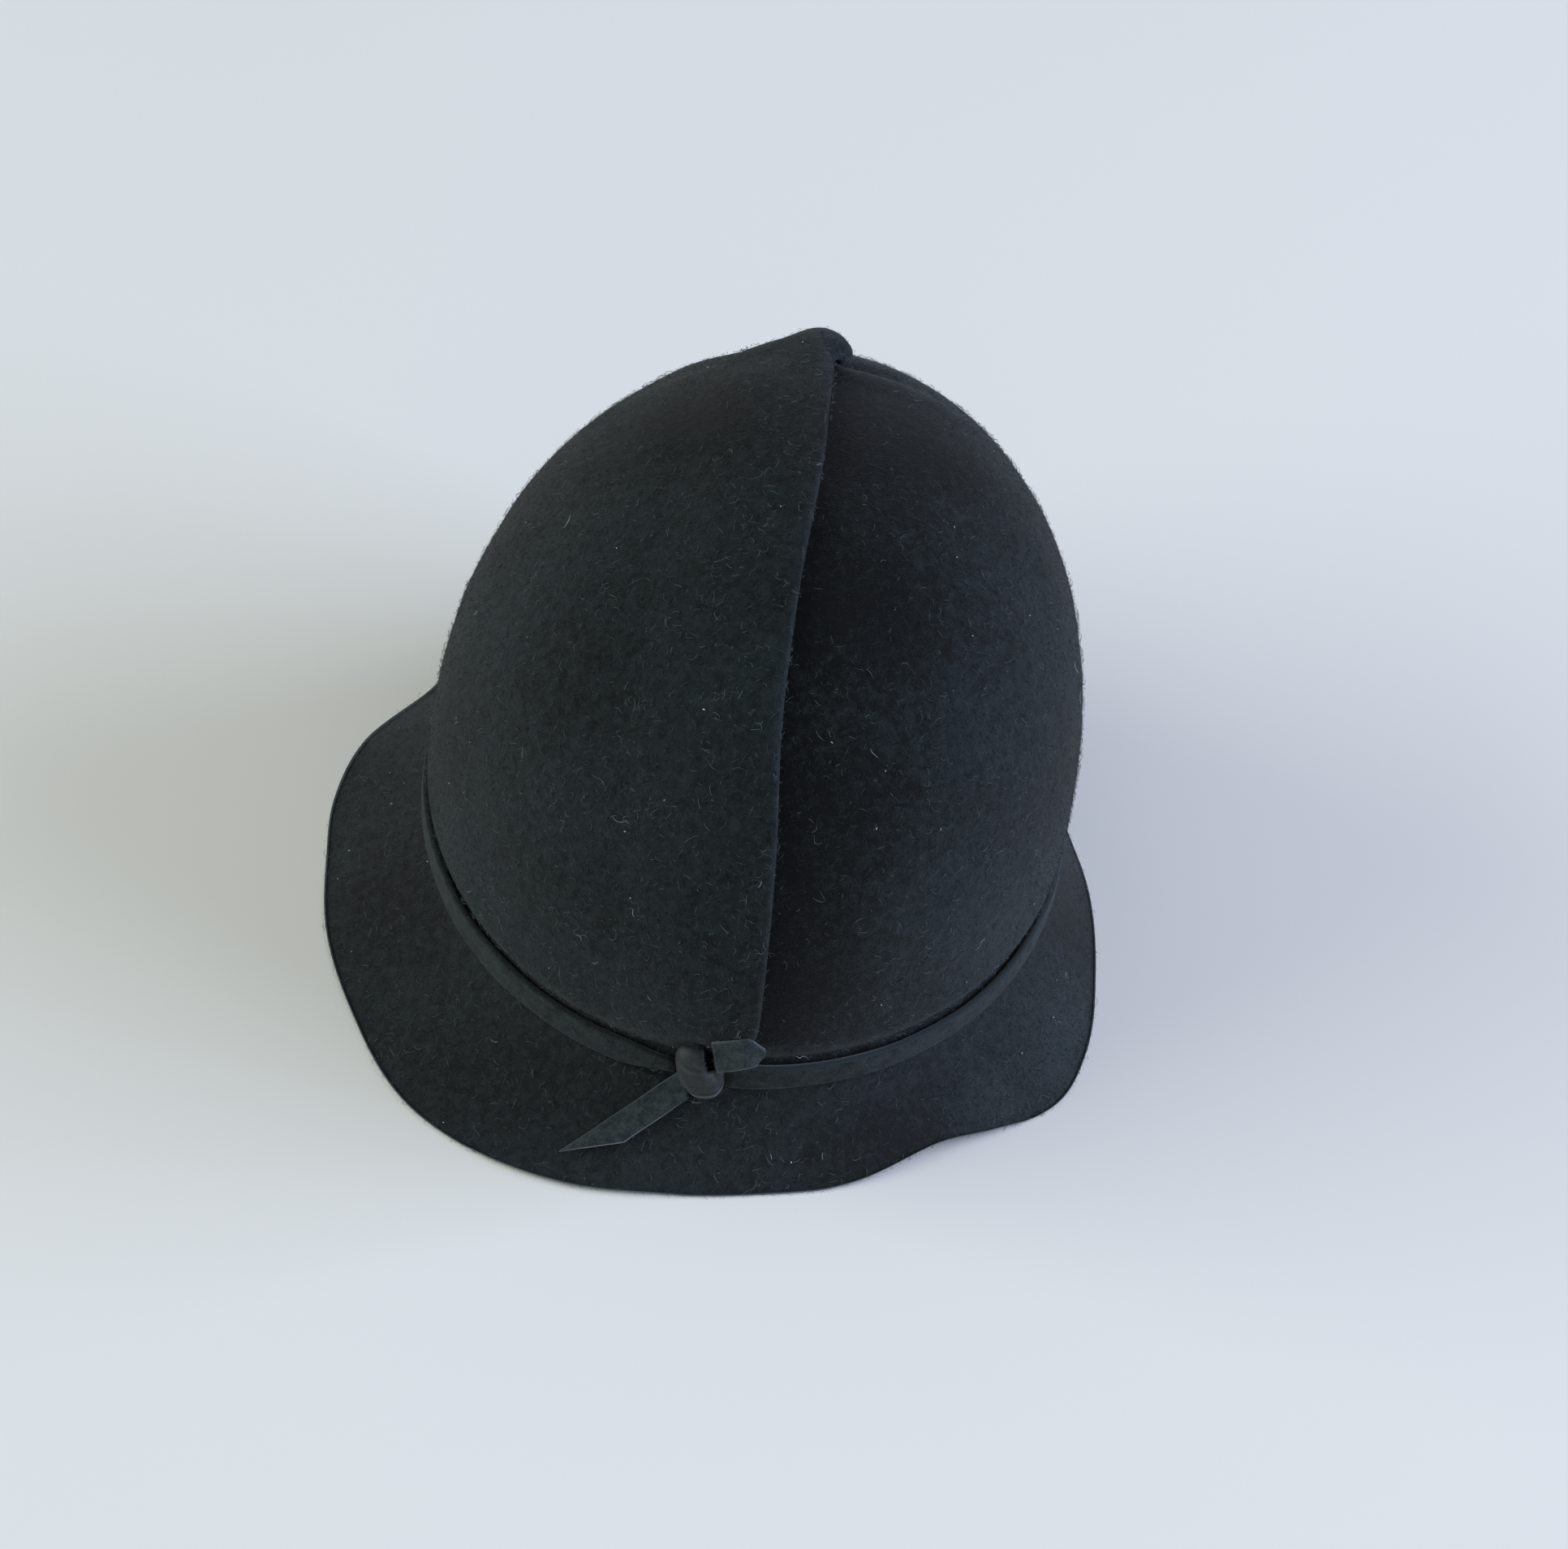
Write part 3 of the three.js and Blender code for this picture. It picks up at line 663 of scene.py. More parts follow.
@dataclass(frozen=True)
class FeltFinish(PlainFinish):
    """Matt wool felt: mottled, clumped at a few millimetres and fibrous below one."""

    light_colour: str = "3a4042"
    tone_range: tuple[float, float] = (0.15, 0.42)
    clump_size: float = 2.8
    fibre_size: float = 0.6
    fibre_depth: float = 0.25
    clump_depth: float = 0.2

    def dress(self, tree: bpy.types.NodeTree, shader: bpy.types.Node) -> None:
        """Add the felt's mottling, moved by its tone and painted light and shade, and its fibrous
        relief.

        Args:
            tree: the material's nodes.
            shader: the shader that the pattern feeds.
        """
        place = add_node(tree, "ShaderNodeTexCoord", {}).outputs["Object"]
        clumps = add_node(tree, "ShaderNodeTexNoise", {
            "Vector": place, "Scale": per_metre(self.clump_size), "Detail": 4.0,
            "Roughness": 0.65, "Distortion": 0.6})
        fibres = add_node(tree, "ShaderNodeTexNoise", {
            "Vector": place, "Scale": per_metre(self.fibre_size), "Detail": 3.0,
            "Roughness": 0.7, "Distortion": 1.5})
        both = add_node(tree, "ShaderNodeMath", {
            0: clumps.outputs[0], 1: fibres.outputs[0]}, operation="MULTIPLY")
        amount = add_node(tree, "ShaderNodeMapRange", {
            0: both.outputs[0], 1: self.tone_range[0], 2: self.tone_range[1],
            3: 0.0, 4: 1.0})
        # Tone and painted light and shade from the mesh move the mottling lighter and darker
        tone_and_painted_light = add_node(tree, "ShaderNodeAttribute", {}, attribute_name="tone_and_painted_light")
        toned_and_lit = add_node(tree, "ShaderNodeMath", {
            0: tone_and_painted_light.outputs["Fac"], 1: TONE_AND_LIGHT_SHARE, 2: amount.outputs[0]},
            operation="MULTIPLY_ADD", use_clamp=True)
        colour = add_node(tree, "ShaderNodeMix", {
            0: toned_and_lit.outputs[0], 6: linear(self.colour), 7: linear(self.light_colour)},
            data_type="RGBA")
        coarse = add_node(tree, "ShaderNodeBump", {
            "Height": clumps.outputs[0], "Distance": self.clump_depth * MM, "Strength": 1.0})
        fine = add_node(tree, "ShaderNodeBump", {
            "Height": fibres.outputs[0], "Distance": self.fibre_depth * MM, "Strength": 1.0,
            "Normal": coarse.outputs[0]})
        tree.links.new(colour.outputs[2], shader.inputs["Base Color"])
        tree.links.new(fine.outputs[0], shader.inputs["Normal"])


# Blocked wool felt drinks nearly all light, and its nap catches a little at the edges
WOOL_FELT = FeltFinish(
    "blocked wool felt", "060909", roughness=0.75, specular=0.1, sheen=0.11,
    sheen_roughness=0.4, light_colour="252d2f")
# The brim was pressed flat with steam, so it shines faintly towards a window
BRIM_FELT = FeltFinish(
    "steam-pressed brim felt", "060909", roughness=0.6, specular=0.17, sheen=0.1,
    sheen_roughness=0.35, light_colour="252d2f")
# The brim's edge is cut clean through; its faces get painted light, a pale grey that stands in
# for the light they catch and lifts the shade along the rim
BRIM_EDGE_PAINTED_LIGHT = PlainFinish("painted light on the brim's cut edge", "4a5557", sheen=0.3)
# The cut strip is pressed harder than the body, so it reads a shade lighter and smoother
STRIP_FELT = FeltFinish(
    "pressed felt strip", "0f1414", roughness=0.7, specular=0.13, sheen=0.12,
    sheen_roughness=0.4, light_colour="31393a", clump_size=3.0, clump_depth=0.15,
    fibre_depth=0.2)
# The two ends hang loose and are given a paler felt than the strip
END_FELT = FeltFinish(
    "paler end of the strip", "171d1e", roughness=0.65, specular=0.15, sheen=0.14,
    sheen_roughness=0.4, light_colour="3e4748", clump_size=2.6, clump_depth=0.15,
    fibre_depth=0.2)
# Tied tight, the knot is rubbed until its folds shine a little
KNOT_FELT = FeltFinish(
    "rubbed felt knot", "0c1111", roughness=0.42, specular=0.32, sheen=0.1,
    light_colour="2c3435", clump_size=2.0, clump_depth=0.2, fibre_depth=0.15)
# Painted shade: a near-black finish on the walls of the knot's slot, where shade falls
KNOT_SLOT_PAINTED_SHADE = PlainFinish("painted shade in the knot's slot", "080b0b", specular=0.0)
# A paler grey along the cut edges of the ends, and a painted highlight on the knot's lip under
# its crease
PALE_EDGE_AND_KNOT_HIGHLIGHT = PlainFinish("pale cut edge and painted knot highlight", "3b4446", sheen=0.25)
# Painted light on the strip's edges on its right-hand half and on its ends at the knot, a grey
# paler than its face
STRIP_EDGE_PAINTED_LIGHT = PlainFinish("painted light on the strip's edges", "293133", sheen=0.22)
# Raised wool fibres of three depths of dye make the surface look brushed, not flat
NAP_TONES = (
    PlainFinish("dark wool nap", "0b0f10"),
    PlainFinish("middle wool nap", "1f2729", sheen=0.1),
    PlainFinish("pale wool nap", "414b4c", sheen=0.1),
)
# Loose curls of less dyed wool show as grey flecks, some fainter than others
WOOL_CURLS = (
    PlainFinish("loose dark grey wool", "3e4849", sheen=0.1),
    PlainFinish("loose grey wool", "5b6566", sheen=0.1),
)
# House dust and stray threads are the only pale things on the hat
PALE_LINT = PlainFinish("pale lint", "b4bcbc")


@dataclass
class FeltBody:
    """The blocked felt: crown, tuck, ridge, brim and cut edge in one shell."""

    form: HatForm
    tuck_steps: int = 5
    plain_columns: int = 230
    unevenness: float = 0.35
    brim_unevenness: float = 0.7
    slow_size: float = 70
    quick_size: float = 28
    quick_share: float = 0.5
    pinch: float = 1.1
    drift: float = 0.25
    drift_size: float = 55
    # Depth and reach of the painted shadow of the tuck on the felt beside and under it
    shade: float = 0.9
    shade_reach: float = 15.0

    def __post_init__(self) -> None:
        """Build the shell once, so that other pieces can be placed on it."""
        form = self.form
        outer = np.concatenate([CROWN_RINGS, STRIP_RINGS, BRIM_RINGS])
        outside, tone_and_painted_light = self._outside(outer)
        rim_angle = self._columns(np.array([3.0]), False)[0][0]
        rim = self._rim(rim_angle)
        inside = self._inside(form.underside_end(rim_angle))
        top = form.felt(0.0, 0.0)
        self.surface = closed_rings(
            np.concatenate([outside, rim, inside[::-1]]), top, top - form.close * form.felt_thick)
        size = len(rim_angle)
        row = np.repeat(np.arange(len(self.surface.quads) // size), size)
        last = len(outside) + len(rim) - 1
        # The brim's cut edge gets painted light, and the pressed brim its own finish
        cut = (row >= len(outside) - 1) & (row < last)
        pressed = (row >= np.argmax(outer > PRESSED_FROM)) & (row < len(outside) - 1)
        self.surface.slots = np.concatenate([np.zeros(2 * size, int), cut + 2 * pressed])
        self.outside_faces = self.surface.quads[row < last]
        # Tone and painted light and shade of the outside's points
        self.surface.tone_and_painted_light = np.zeros(len(self.surface.points))
        self.surface.tone_and_painted_light[1:1 + tone_and_painted_light.size] = tone_and_painted_light.ravel()
        low, high = (np.array(corner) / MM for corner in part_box("felt_body"))
        points = self.surface.points
        self.offset = (low + high) / 2 - (points.min(0) + points.max(0)) / 2
        self.offset[2] = 0

    def _columns(self, share: Array, folded: bool) -> tuple[Array, Array]:
        """Return the columns of each ring at this shell's fineness."""
        return self.form.columns(share, folded, self.tuck_steps, self.plain_columns)

    def _outside(self, rings: Array) -> tuple[Array, Array]:
        """Return the rings of the uneven outside with its tuck, and their tone and painted light
        and shade.
        """
        angle, height = self._columns(rings, True)
        shares = np.broadcast_to(rings[:, None], angle.shape)
        outside = self.form.felt(angle, shares)
        brim = self.brim_unevenness * fade_in(shares, BRIM_UNEVEN_FROM)
        still = fade_out(shares, CROWN_UNEVEN_TO) + brim * fade_out(shares, BRIM_UNEVEN_TO)
        slow = wander(outside, self.slow_size, Wander.FELT_SLOW)
        quick = wander(outside, self.quick_size, Wander.FELT_QUICK)
        slow = slow + self.quick_share * quick
        pinched = fade_in(shares, PINCHED_FROM) * fade_out(shares, PINCHED_TO)
        height = height + self.unevenness * slow * still - self.pinch * pinched
        outside = outside + self.form.normal(angle, shares) * height[..., None]
        return outside, self._tone_and_painted_light(angle, shares, outside)

    def _inside(self, end: Array) -> Array:
        """Return the rings of the plain inside, down to each column's end under the brim."""
        angle = self._columns(INSIDE_RINGS, False)[0]
        shares = np.broadcast_to(INSIDE_RINGS[:, None], angle.shape)
        under = blend(2, end[None], (shares - 2) / INSIDE_SPAN)
        shares = np.where(shares > 2, under, shares)
        depth = self.form.normal(angle, shares) * self.form.felt_thick
        return self.form.felt(angle, shares) - depth

    def _tone_and_painted_light(self, angle: Array, share: Array, points: Array) -> Array:
        """Return the tone and the painted light and shade at each point of the outside.

        Args:
            angle: degrees from the back, ring by ring.
            share: share down the felt.
            points: the outside points.

        Returns:
            One value for each point: random tone, plus painted light above 0 and painted shade
                below it.
        """
        turned = half_turn(angle)
        tone_and_painted_light = self.drift * wander(points, self.drift_size, Wander.NAP_DRIFT)
        # Patches of painted light and shade
        for at, spread, down, reach, amount in PAINTED_LIGHT_PATCHES:
            tone_and_painted_light = tone_and_painted_light + amount * np.exp(
                -(((turned - at) / spread) ** 2) - ((share - down) / reach) ** 2)
        # Painted shadow of the folded tuck: felt under the fold and right of its edge is
        # darkened, fading away from the edge and towards the strip
        edge = angle[:, FOLD_EDGE_ROW * self.tuck_steps][:, None]
        beside = np.radians(turned - edge) * np.hypot(points[..., 0], points[..., 1])
        shade = np.exp(-((np.maximum(beside, 0) / self.shade_reach) ** 2))
        column = np.arange(angle.shape[1])
        in_tuck = column < len(TUCK_PROFILE) * self.tuck_steps
        below = (column >= UNDER_FOLD_ROW * self.tuck_steps) & (in_tuck | (beside > 0))
        return tone_and_painted_light - self.shade * shade * below * fade_out(share, SHADED_TO)

    def _rim(self, angle: Array) -> Array:
        """Return the rings of the brim's cut edge, from its top round to its underside."""
        rim = self.form.felt(angle, 3.0)
        radius = np.hypot(rim[:, 0], rim[:, 1])
        return np.stack([
            at_angle(angle, radius + out, rim[:, 2] + up) for out, up in RIM_CORNERS])

    def build(self) -> bpy.types.Object:
        """Return the felt, in place of the plain CAD felt."""
        finishes = (WOOL_FELT, BRIM_EDGE_PAINTED_LIGHT, BRIM_FELT)
        piece = add_mesh(
            "felt", self.surface, self.offset, [finish.material() for finish in finishes])
        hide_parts("felt_body")
        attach(piece, BODY)
        return piece


@dataclass
class BandStrip:
    """The strip of felt that runs round the crown and butts against the knot."""

    form: HatForm
    offset: Array
    thick: float = 1.8
    clear: float = 0.3
    knot_angle: float = -4.8
    knot_wide: float = 12.4
    steps: int = 300
    wave: float = 0.22
    wave_size: float = 34
    bulges: float = 0.1
    bulge_size: float = 23
    crevice_left: float = 0.6
    crevice_right: float = 2.0
    crevice_change: tuple[float, float] = (-0.2, 0.8)
    painted_light_edge_from: float = -0.06
    gather_reach: float = 16.0
    gather_low: float = 2.6
    gather_top: float = 1.5

    def __post_init__(self) -> None:
        """Build the ring of the strip."""
        form = self.form
        half = math.degrees((self.knot_wide / 2 + self.clear)
                            / float(form.ring_radius(self.knot_angle)))
        angle = np.linspace(self.knot_angle + half, self.knot_angle - half + 360, self.steps)
        across, up = STRIP_SECTION.T
        middle = at_angle(angle, form.ring_radius(angle), form.brim_root)
        bulges = self.bulges * wander(middle, self.bulge_size, Wander.STRIP_BULGES)
        out = self.clear + across * self.thick + bulges[:, None]
        radius = form.ring_radius(angle)[:, None] + np.maximum(out, self.clear)
        turned = np.sin(np.radians(angle))
        crevice = blend(
            self.crevice_left, self.crevice_right, fade_in(turned, self.crevice_change))
        to_knot = np.radians(self.knot_angle - half + 360 - angle) * radius[:, 0]
        gather = ease(1 - to_knot / self.gather_reach)
        wave = self.wave * wander(middle, self.wave_size, Wander.STRIP_WAVE)
        top = form.strip_top - crevice + wave - self.gather_top * gather
        foot = form.brim_root + self.gather_low * gather
        height = blend(foot[:, None], top[:, None], up)
        rings = at_angle(angle[:, None], radius, height)
        self.surface = closed_rings(rings, rings[0].mean(0), rings[-1].mean(0))
        count = len(STRIP_SECTION)
        side = np.tile(np.arange(count), self.steps - 1)
        # The strip's edges on the right-hand half, and its ends at the knot, get painted light
        on_right = np.repeat(turned[:-1] > self.painted_light_edge_from, count)
        slots = (np.isin(side, STRIP_EDGE_SIDES) & on_right).astype(int)
        self.surface.slots = np.concatenate([np.ones(2 * count, int), slots])

    def build(self) -> bpy.types.Object:
        """Return the strip, in place of the CAD strip."""
        piece = add_mesh("strip_round_crown", self.surface, self.offset,
                         [STRIP_FELT.material(), STRIP_EDGE_PAINTED_LIGHT.material()])
        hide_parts("band_strip")
        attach(piece, BODY)
        return piece


@dataclass
class Knot:
    """The small knot: a turn of the strip pressed flat over the turn beneath it."""

    form: HatForm
    offset: Array
    angle: float = -4.8
    wide: float = 12.4
    tall: float = 19.5
    lift: float = 3.0
    shear: float = 2.0
    front: float = 5.0
    back: float = 2.2
    clear: float = 0.3
    slant: float = 24
    squareness: float = 0.8
    groove: float = 1.1
    groove_place: float = 0.28
    groove_wide: float = 0.09
    groove_from: tuple[float, float] = (-0.9, 0.7)
    crease: float = 1.1
    crease_wide: float = 0.06
    crease_height: float = -0.6
    crease_bow: float = 0.22
    crease_tilt: float = 0.12
    lip_near: float = 0.05
    lip_far: float = 0.16
    lip_front: float = 0.1
    slot: float = 4.2
    slot_place: float = 0.46
    slot_wide: float = 0.2
    slot_from: tuple[float, float] = (0.05, 0.2)
    dark_wide: float = 0.19
    dark_from: float = 0.15
    bumps: float = 0.3
    bump_size: float = 0.6
    rows: int = 80
    around: int = 120

    def __post_init__(self) -> None:
        """Build the lump with its slanted groove and its creases."""
        tilt, turn = np.meshgrid(
            np.pi * np.arange(1, self.rows) / self.rows,
            math.tau * np.arange(self.around) / self.around, indexing="ij")
        rings = self._place(turn, tilt)
        first = self._place(np.array([0.0]), np.array([0.0]))[0]
        last = self._place(np.array([0.0]), np.array([math.pi]))[0]
        self.surface = closed_rings(rings, first, last)
        x, z = np.sin(tilt) * np.sin(turn), np.cos(tilt)
        line, facing = self._crease_line(x), np.cos(turn)
        # The lip under the crease gets a painted highlight
        lip = (z < line - self.lip_near) & (z > line - self.lip_far) & (facing > self.lip_front)
        # The walls of the slot get painted shade
        painted_slot_shade = (np.abs(x - self.slot_place) < self.dark_wide) & (z > self.dark_from)
        slots = np.where(painted_slot_shade & (facing > 0), 2, lip)[:-1].ravel()
        self.surface.slots = np.concatenate([np.zeros(2 * self.around, int), slots])

    def _crease_line(self, x: Array) -> Array:
        """Return the height share of the lower turn's edge across the knot."""
        return self.crease_height + self.crease_bow * x * x + self.crease_tilt * x

    def _relief(self, x: Array, y: Array, z: Array) -> Array:
        """Return how far the folds stand out, for shares across, out from the felt and up."""
        slant = math.radians(self.slant)
        slanted = z * math.cos(slant) + x * math.sin(slant) - self.groove_place
        from_line = (z - self._crease_line(x)) / self.crease_wide
        from_slot = (x - self.slot_place) / self.slot_wide
        groove = self.groove * np.exp(-((slanted / self.groove_wide) ** 2))
        crease = self.crease * np.exp(-(from_line ** 2))
        slot = self.slot * np.exp(-(from_slot ** 4))
        bumps = self.bumps * wander(np.stack([x, y, z], -1), self.bump_size, Wander.KNOT_BUMPS)
        return (-groove * fade_in(x, self.groove_from) - crease
                - slot * fade_in(z, self.slot_from) + bumps)

    def _place(self, turn: Array, tilt: Array) -> Array:
        """Return the knot's surface at a turn round it and a tilt down it."""
        form = self.form
        x, y, z = np.sin(tilt) * np.sin(turn), np.sin(tilt) * np.cos(turn), np.cos(tilt)
        height = (form.brim_root + form.strip_width / 2 + self.lift
                  + np.sign(z) * np.abs(z) ** self.squareness * self.tall / 2)
        deep = np.where(y > 0, self.front, self.back)
        radius = (form.ring_radius(self.angle) + form.stand_out(self.angle, height) + self.clear
                  + self.back + y * deep + np.maximum(y, 0) * self._relief(x, y, z))
        out = at_angle(self.angle, 1.0, 0.0)
        side = np.array([-out[1], out[0], 0.0])
        across = np.sign(x) * np.abs(x) ** self.squareness * self.wide / 2 - self.shear * z
        point = out * radius[..., None] + across[..., None] * side
        point[..., 2] = height
        return point

    def build(self) -> bpy.types.Object:
        """Return the knot, in place of the CAD knot."""
        finishes = (KNOT_FELT, PALE_EDGE_AND_KNOT_HIGHLIGHT, KNOT_SLOT_PAINTED_SHADE)
        piece = add_mesh("knot_of_strip", self.surface, self.offset,
                         [finish.material() for finish in finishes])
        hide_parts("knot")
        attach(piece, BODY)
        return piece


class EndKind(Enum):
    """The two cut ends, by the name of their CAD node."""

    LONG = "long_end"
    SHORT = "short_end"


# Middle line of the long end over the brim: share along it, to the side and down as shares of
# its length, and how far off the felt as a share of the strip's thickness
LONG_LINE = np.array([
    (-0.13, 0.087, -0.087, 0.9), (0, 0, 0, 0.75), (0.33, -0.22, 0.22, 0.6),
    (0.67, -0.465, 0.45, 0.45), (1, -0.68, 0.66, 0.4),
])
# Middle line of the short end in front of the crown: share along it, to the side and up as
# shares of its length, and how far out from the strip's ring as a share of the thickness
SHORT_LINE = np.array([
    (0, 0, 0, 4.2), (0.5, 0.5, 0.19, 4.3), (1, 1, 0.3, 3.6),
])


@dataclass
class StripEnd:
    """One cut end of the strip, lying out from the knot."""

    form: HatForm
    offset: Array
    kind: EndKind
    angle: float
    start: float
    length: float
    cut: float
    lean: float = 0.0
    point: float = 0.0
    width: float = 1.0
    thick: float = 1.8
    steps: int = 44
    look_ahead: float = 0.05
    creases: float = 0.12
    crease_size: float = 7
    point_taper: float = 0.9
    point_skew: float = 0.2

    def __post_init__(self) -> None:
        """Build the end ring by ring along its middle line."""
        first = LONG_LINE[0, 0] if self.kind is EndKind.LONG else SHORT_LINE[0, 0]
        along = np.linspace(first, 1, self.steps)
        place, normal = self._middle(along)
        ahead = unit(self._middle(np.minimum(along + self.look_ahead, 1))[0]
                     - self._middle(np.maximum(along - self.look_ahead, first))[0])
        wide = unit(np.cross(normal, ahead))
        across, up = END_SECTION.T
        to_tip = np.clip((along - 1 + self.point) / max(self.point, NUDGE), 0, 1)
        narrow = 1 - to_tip * self.point_taper
        side = narrow[:, None] * across - self.point_skew * (1 - narrow[:, None])
        half = self.width * self.form.strip_width / 2
        ripple = self.creases * wander(place, self.crease_size, Wander.END_CREASES)[:, None]
        slanted = side[..., None] * (ahead * (self.cut * along)[:, None])[:, None]
        rings = (place[:, None] + (side[..., None] * wide[:, None] + slanted) * half
                 + normal[:, None] * (up * (self.thick + ripple))[..., None])
        self.surface = closed_rings(rings, rings[0].mean(0), rings[-1].mean(0))
        count = len(END_SECTION)
        number = np.tile(np.arange(count), self.steps - 1)
        caps = np.concatenate([np.zeros(count, int), np.ones(count, int)])
        slots = np.isin(number, END_EDGE_SIDES).astype(int)
        self.surface.slots = np.concatenate([caps, slots])

    def _middle(self, along: Array) -> tuple[Array, Array]:
        """Return the underside's middle line and its direction off the felt."""
        if self.kind is EndKind.LONG:
            return self._over_brim(along)
        return self._before_crown(along)

    def _over_brim(self, along: Array) -> tuple[Array, Array]:
        """Return the middle line of the end that lies on the brim."""
        form = self.form
        share, side, down, clear = LONG_LINE.T
        degree = np.linalg.norm(form.felt(self.angle + HALF_DEGREE, self.start)
                                - form.felt(self.angle - HALF_DEGREE, self.start))
        small_step = np.linalg.norm(form.felt(self.angle, self.start + STEP_DOWN)
                                    - form.felt(self.angle, self.start - STEP_DOWN))
        per_share = small_step / (2 * STEP_DOWN)
        at = self.angle + self.length * hermite(share, side, along) / degree
        below = self.start + self.length * hermite(share, down, along) / per_share
        normal = form.normal(at, below)
        off = self.thick * hermite(share, clear, along)
        return form.felt(at, below) + normal * off[:, None], normal

    def _before_crown(self, along: Array) -> tuple[Array, Array]:
        """Return the middle line of the end that stands in front of the crown."""
        share, side, rise, out = SHORT_LINE.T
        radius = self.form.ring_radius(self.angle)
        at = self.angle + np.degrees(self.length * hermite(share, side, along) / radius)
        far = self.form.ring_radius(at) + self.thick * hermite(share, out, along)
        height = self.form.brim_root + self.start + self.length * hermite(share, rise, along)
        lean = math.radians(self.lean)
        return at_angle(at, far, height), at_angle(at, math.cos(lean), math.sin(lean))

    def build(self) -> bpy.types.Object:
        """Return the end, in place of its CAD node."""
        name = self.kind.value + "_of_strip"
        piece = add_mesh(name, self.surface, self.offset,
                         [END_FELT.material(), PALE_EDGE_AND_KNOT_HIGHLIGHT.material()])
        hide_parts(self.kind.value)
        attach(piece, BODY)
        return piece


def spikes(places: Array, normals: Array, reach: Array, width: Array) -> Surface:
    """Make closed three-sided fibres that stand at the places.

    Args:
        places: foot of each fibre.
        normals: outward direction at each foot.
        reach: vector from each foot to its tip.
        width: radius of each foot.

    Returns:
        One surface of all the fibres.
    """
    axis = unit(reach)
    side = unit(np.cross(axis, normals + NUDGE))
    other = np.cross(axis, side)
    turns = np.arange(3) * math.tau / 3
    foot = [places + (side * math.cos(t) + other * math.sin(t)) * width[:, None] for t in turns]
    points = np.stack([*foot, places + reach], axis=1)
    base = 4 * np.arange(len(places))[:, None]
    faces = [base + np.array(face) for face in ((0, 2, 1), (0, 1, 3), (1, 2, 3), (2, 0, 3))]
    return Surface(points.reshape(-1, 3), np.concatenate(faces), np.empty((0, 4), int))


# Direction that no fibre lies along, from which the sides of each fibre are laid out
ODD_WAY = np.array([0.31, 0.52, 0.8])
# Part of a half wave that a fibre's thickness follows, so that its ends come nearly to a point
TAPER = (0.16, 0.84)


def curls(paths: Array, radius: Array) -> Surface:
    """Make closed three-sided tubes along curved paths, pointed at both ends.

    Args:
        paths: points of each path.
        radius: radius of each tube at its middle.

    Returns:
        One surface of all the tubes.
    """
    count, size = paths.shape[:2]
    along = unit(np.gradient(paths, axis=1))
    side = unit(np.cross(along, ODD_WAY))
    other = np.cross(along, side)
    taper = np.sin(np.pi * np.linspace(*TAPER, size))[None, :] * radius[:, None]
    turns = np.arange(3) * math.tau / 3
    rings = np.stack([paths + (side * math.cos(t) + other * math.sin(t)) * taper[..., None]
                      for t in turns], axis=2)
    points = rings.reshape(count, size * 3, 3)
    base = (size * 3 * np.arange(count))[:, None]
    quads = []
    for k in range(size - 1):
        for i in range(3):
            j = (i + 1) % 3
            a, b = 3 * k, 3 * k + 3
            quads.append(base + np.array([a + i, a + j, b + j, b + i]))
    last = 3 * (size - 1)
    ends = [base + np.array([0, 2, 1]), base + np.array([last, last + 1, last + 2])]
    return Surface(points.reshape(-1, 3), np.concatenate(ends), np.concatenate(quads))


def above_ground(surface: Surface) -> Surface:
    """Press any fibre that would sink into the ground back up onto it."""
    surface.points[:, 2] = np.maximum(surface.points[:, 2], GROUND_CLEAR)
    return surface


@dataclass
class Nap:
    """The raised nap: short fibres brushed along the felt in slow swirls."""

    felt: FeltBody
    fibres: int = 36000
    length: float = 1.15
    length_limits: tuple[float, float] = (0.4, 2.2)
    evenness: int = 6
    width: float = 0.045
    sunk: float = 0.08
    swirl: float = 1.3
    swirl_size: float = 16
    stray: float = 0.7
    rise: tuple[float, float] = (0.42, 0.25)
    rise_limits: tuple[float, float] = (0.1, 1.2)
    first_seed: int = 100

    def build(self) -> list[bpy.types.Object]:
        """Return the nap in a few joined meshes."""
        pieces = []
        for patch, finish in enumerate(NAP_TONES):
            rng = np.random.default_rng(self.first_seed + patch)
            places, normals = self.felt.surface.scatter(
                rng, self.fibres, self.felt.outside_faces)
            reach = self._reach(rng, places, normals)
            width = self.width * rng.uniform(*WIDTH_SPREAD, self.fibres)
            surface = above_ground(spikes(places - normals * self.sunk, normals, reach, width))
            piece = add_mesh(f"nap_{patch + 1}", surface, self.felt.offset, [finish.material()])
            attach(piece, BODY)
            pieces.append(piece)
        return pieces

    def _reach(self, rng: np.random.Generator, places: Array, normals: Array) -> Array:
        """Return the vector from foot to tip of each fibre."""
        count = len(places)
        down = np.array([0.0, 0.0, -1.0])
        side = unit(np.cross(normals, down + NUDGE))
        fall = np.cross(side, normals)
        swirl = self.swirl * wander(places, self.swirl_size, Wander.NAP_SWIRL)
        turn = swirl + rng.normal(0, self.stray, count)
        lying = side * np.sin(turn)[:, None] + fall * np.cos(turn)[:, None]
        rise = np.clip(rng.normal(*self.rise, count), *self.rise_limits)[:, None]
        length = self.length * rng.gamma(self.evenness, 1 / self.evenness, count)[:, None]
        return unit(lying + normals * rise) * np.clip(length, *self.length_limits)


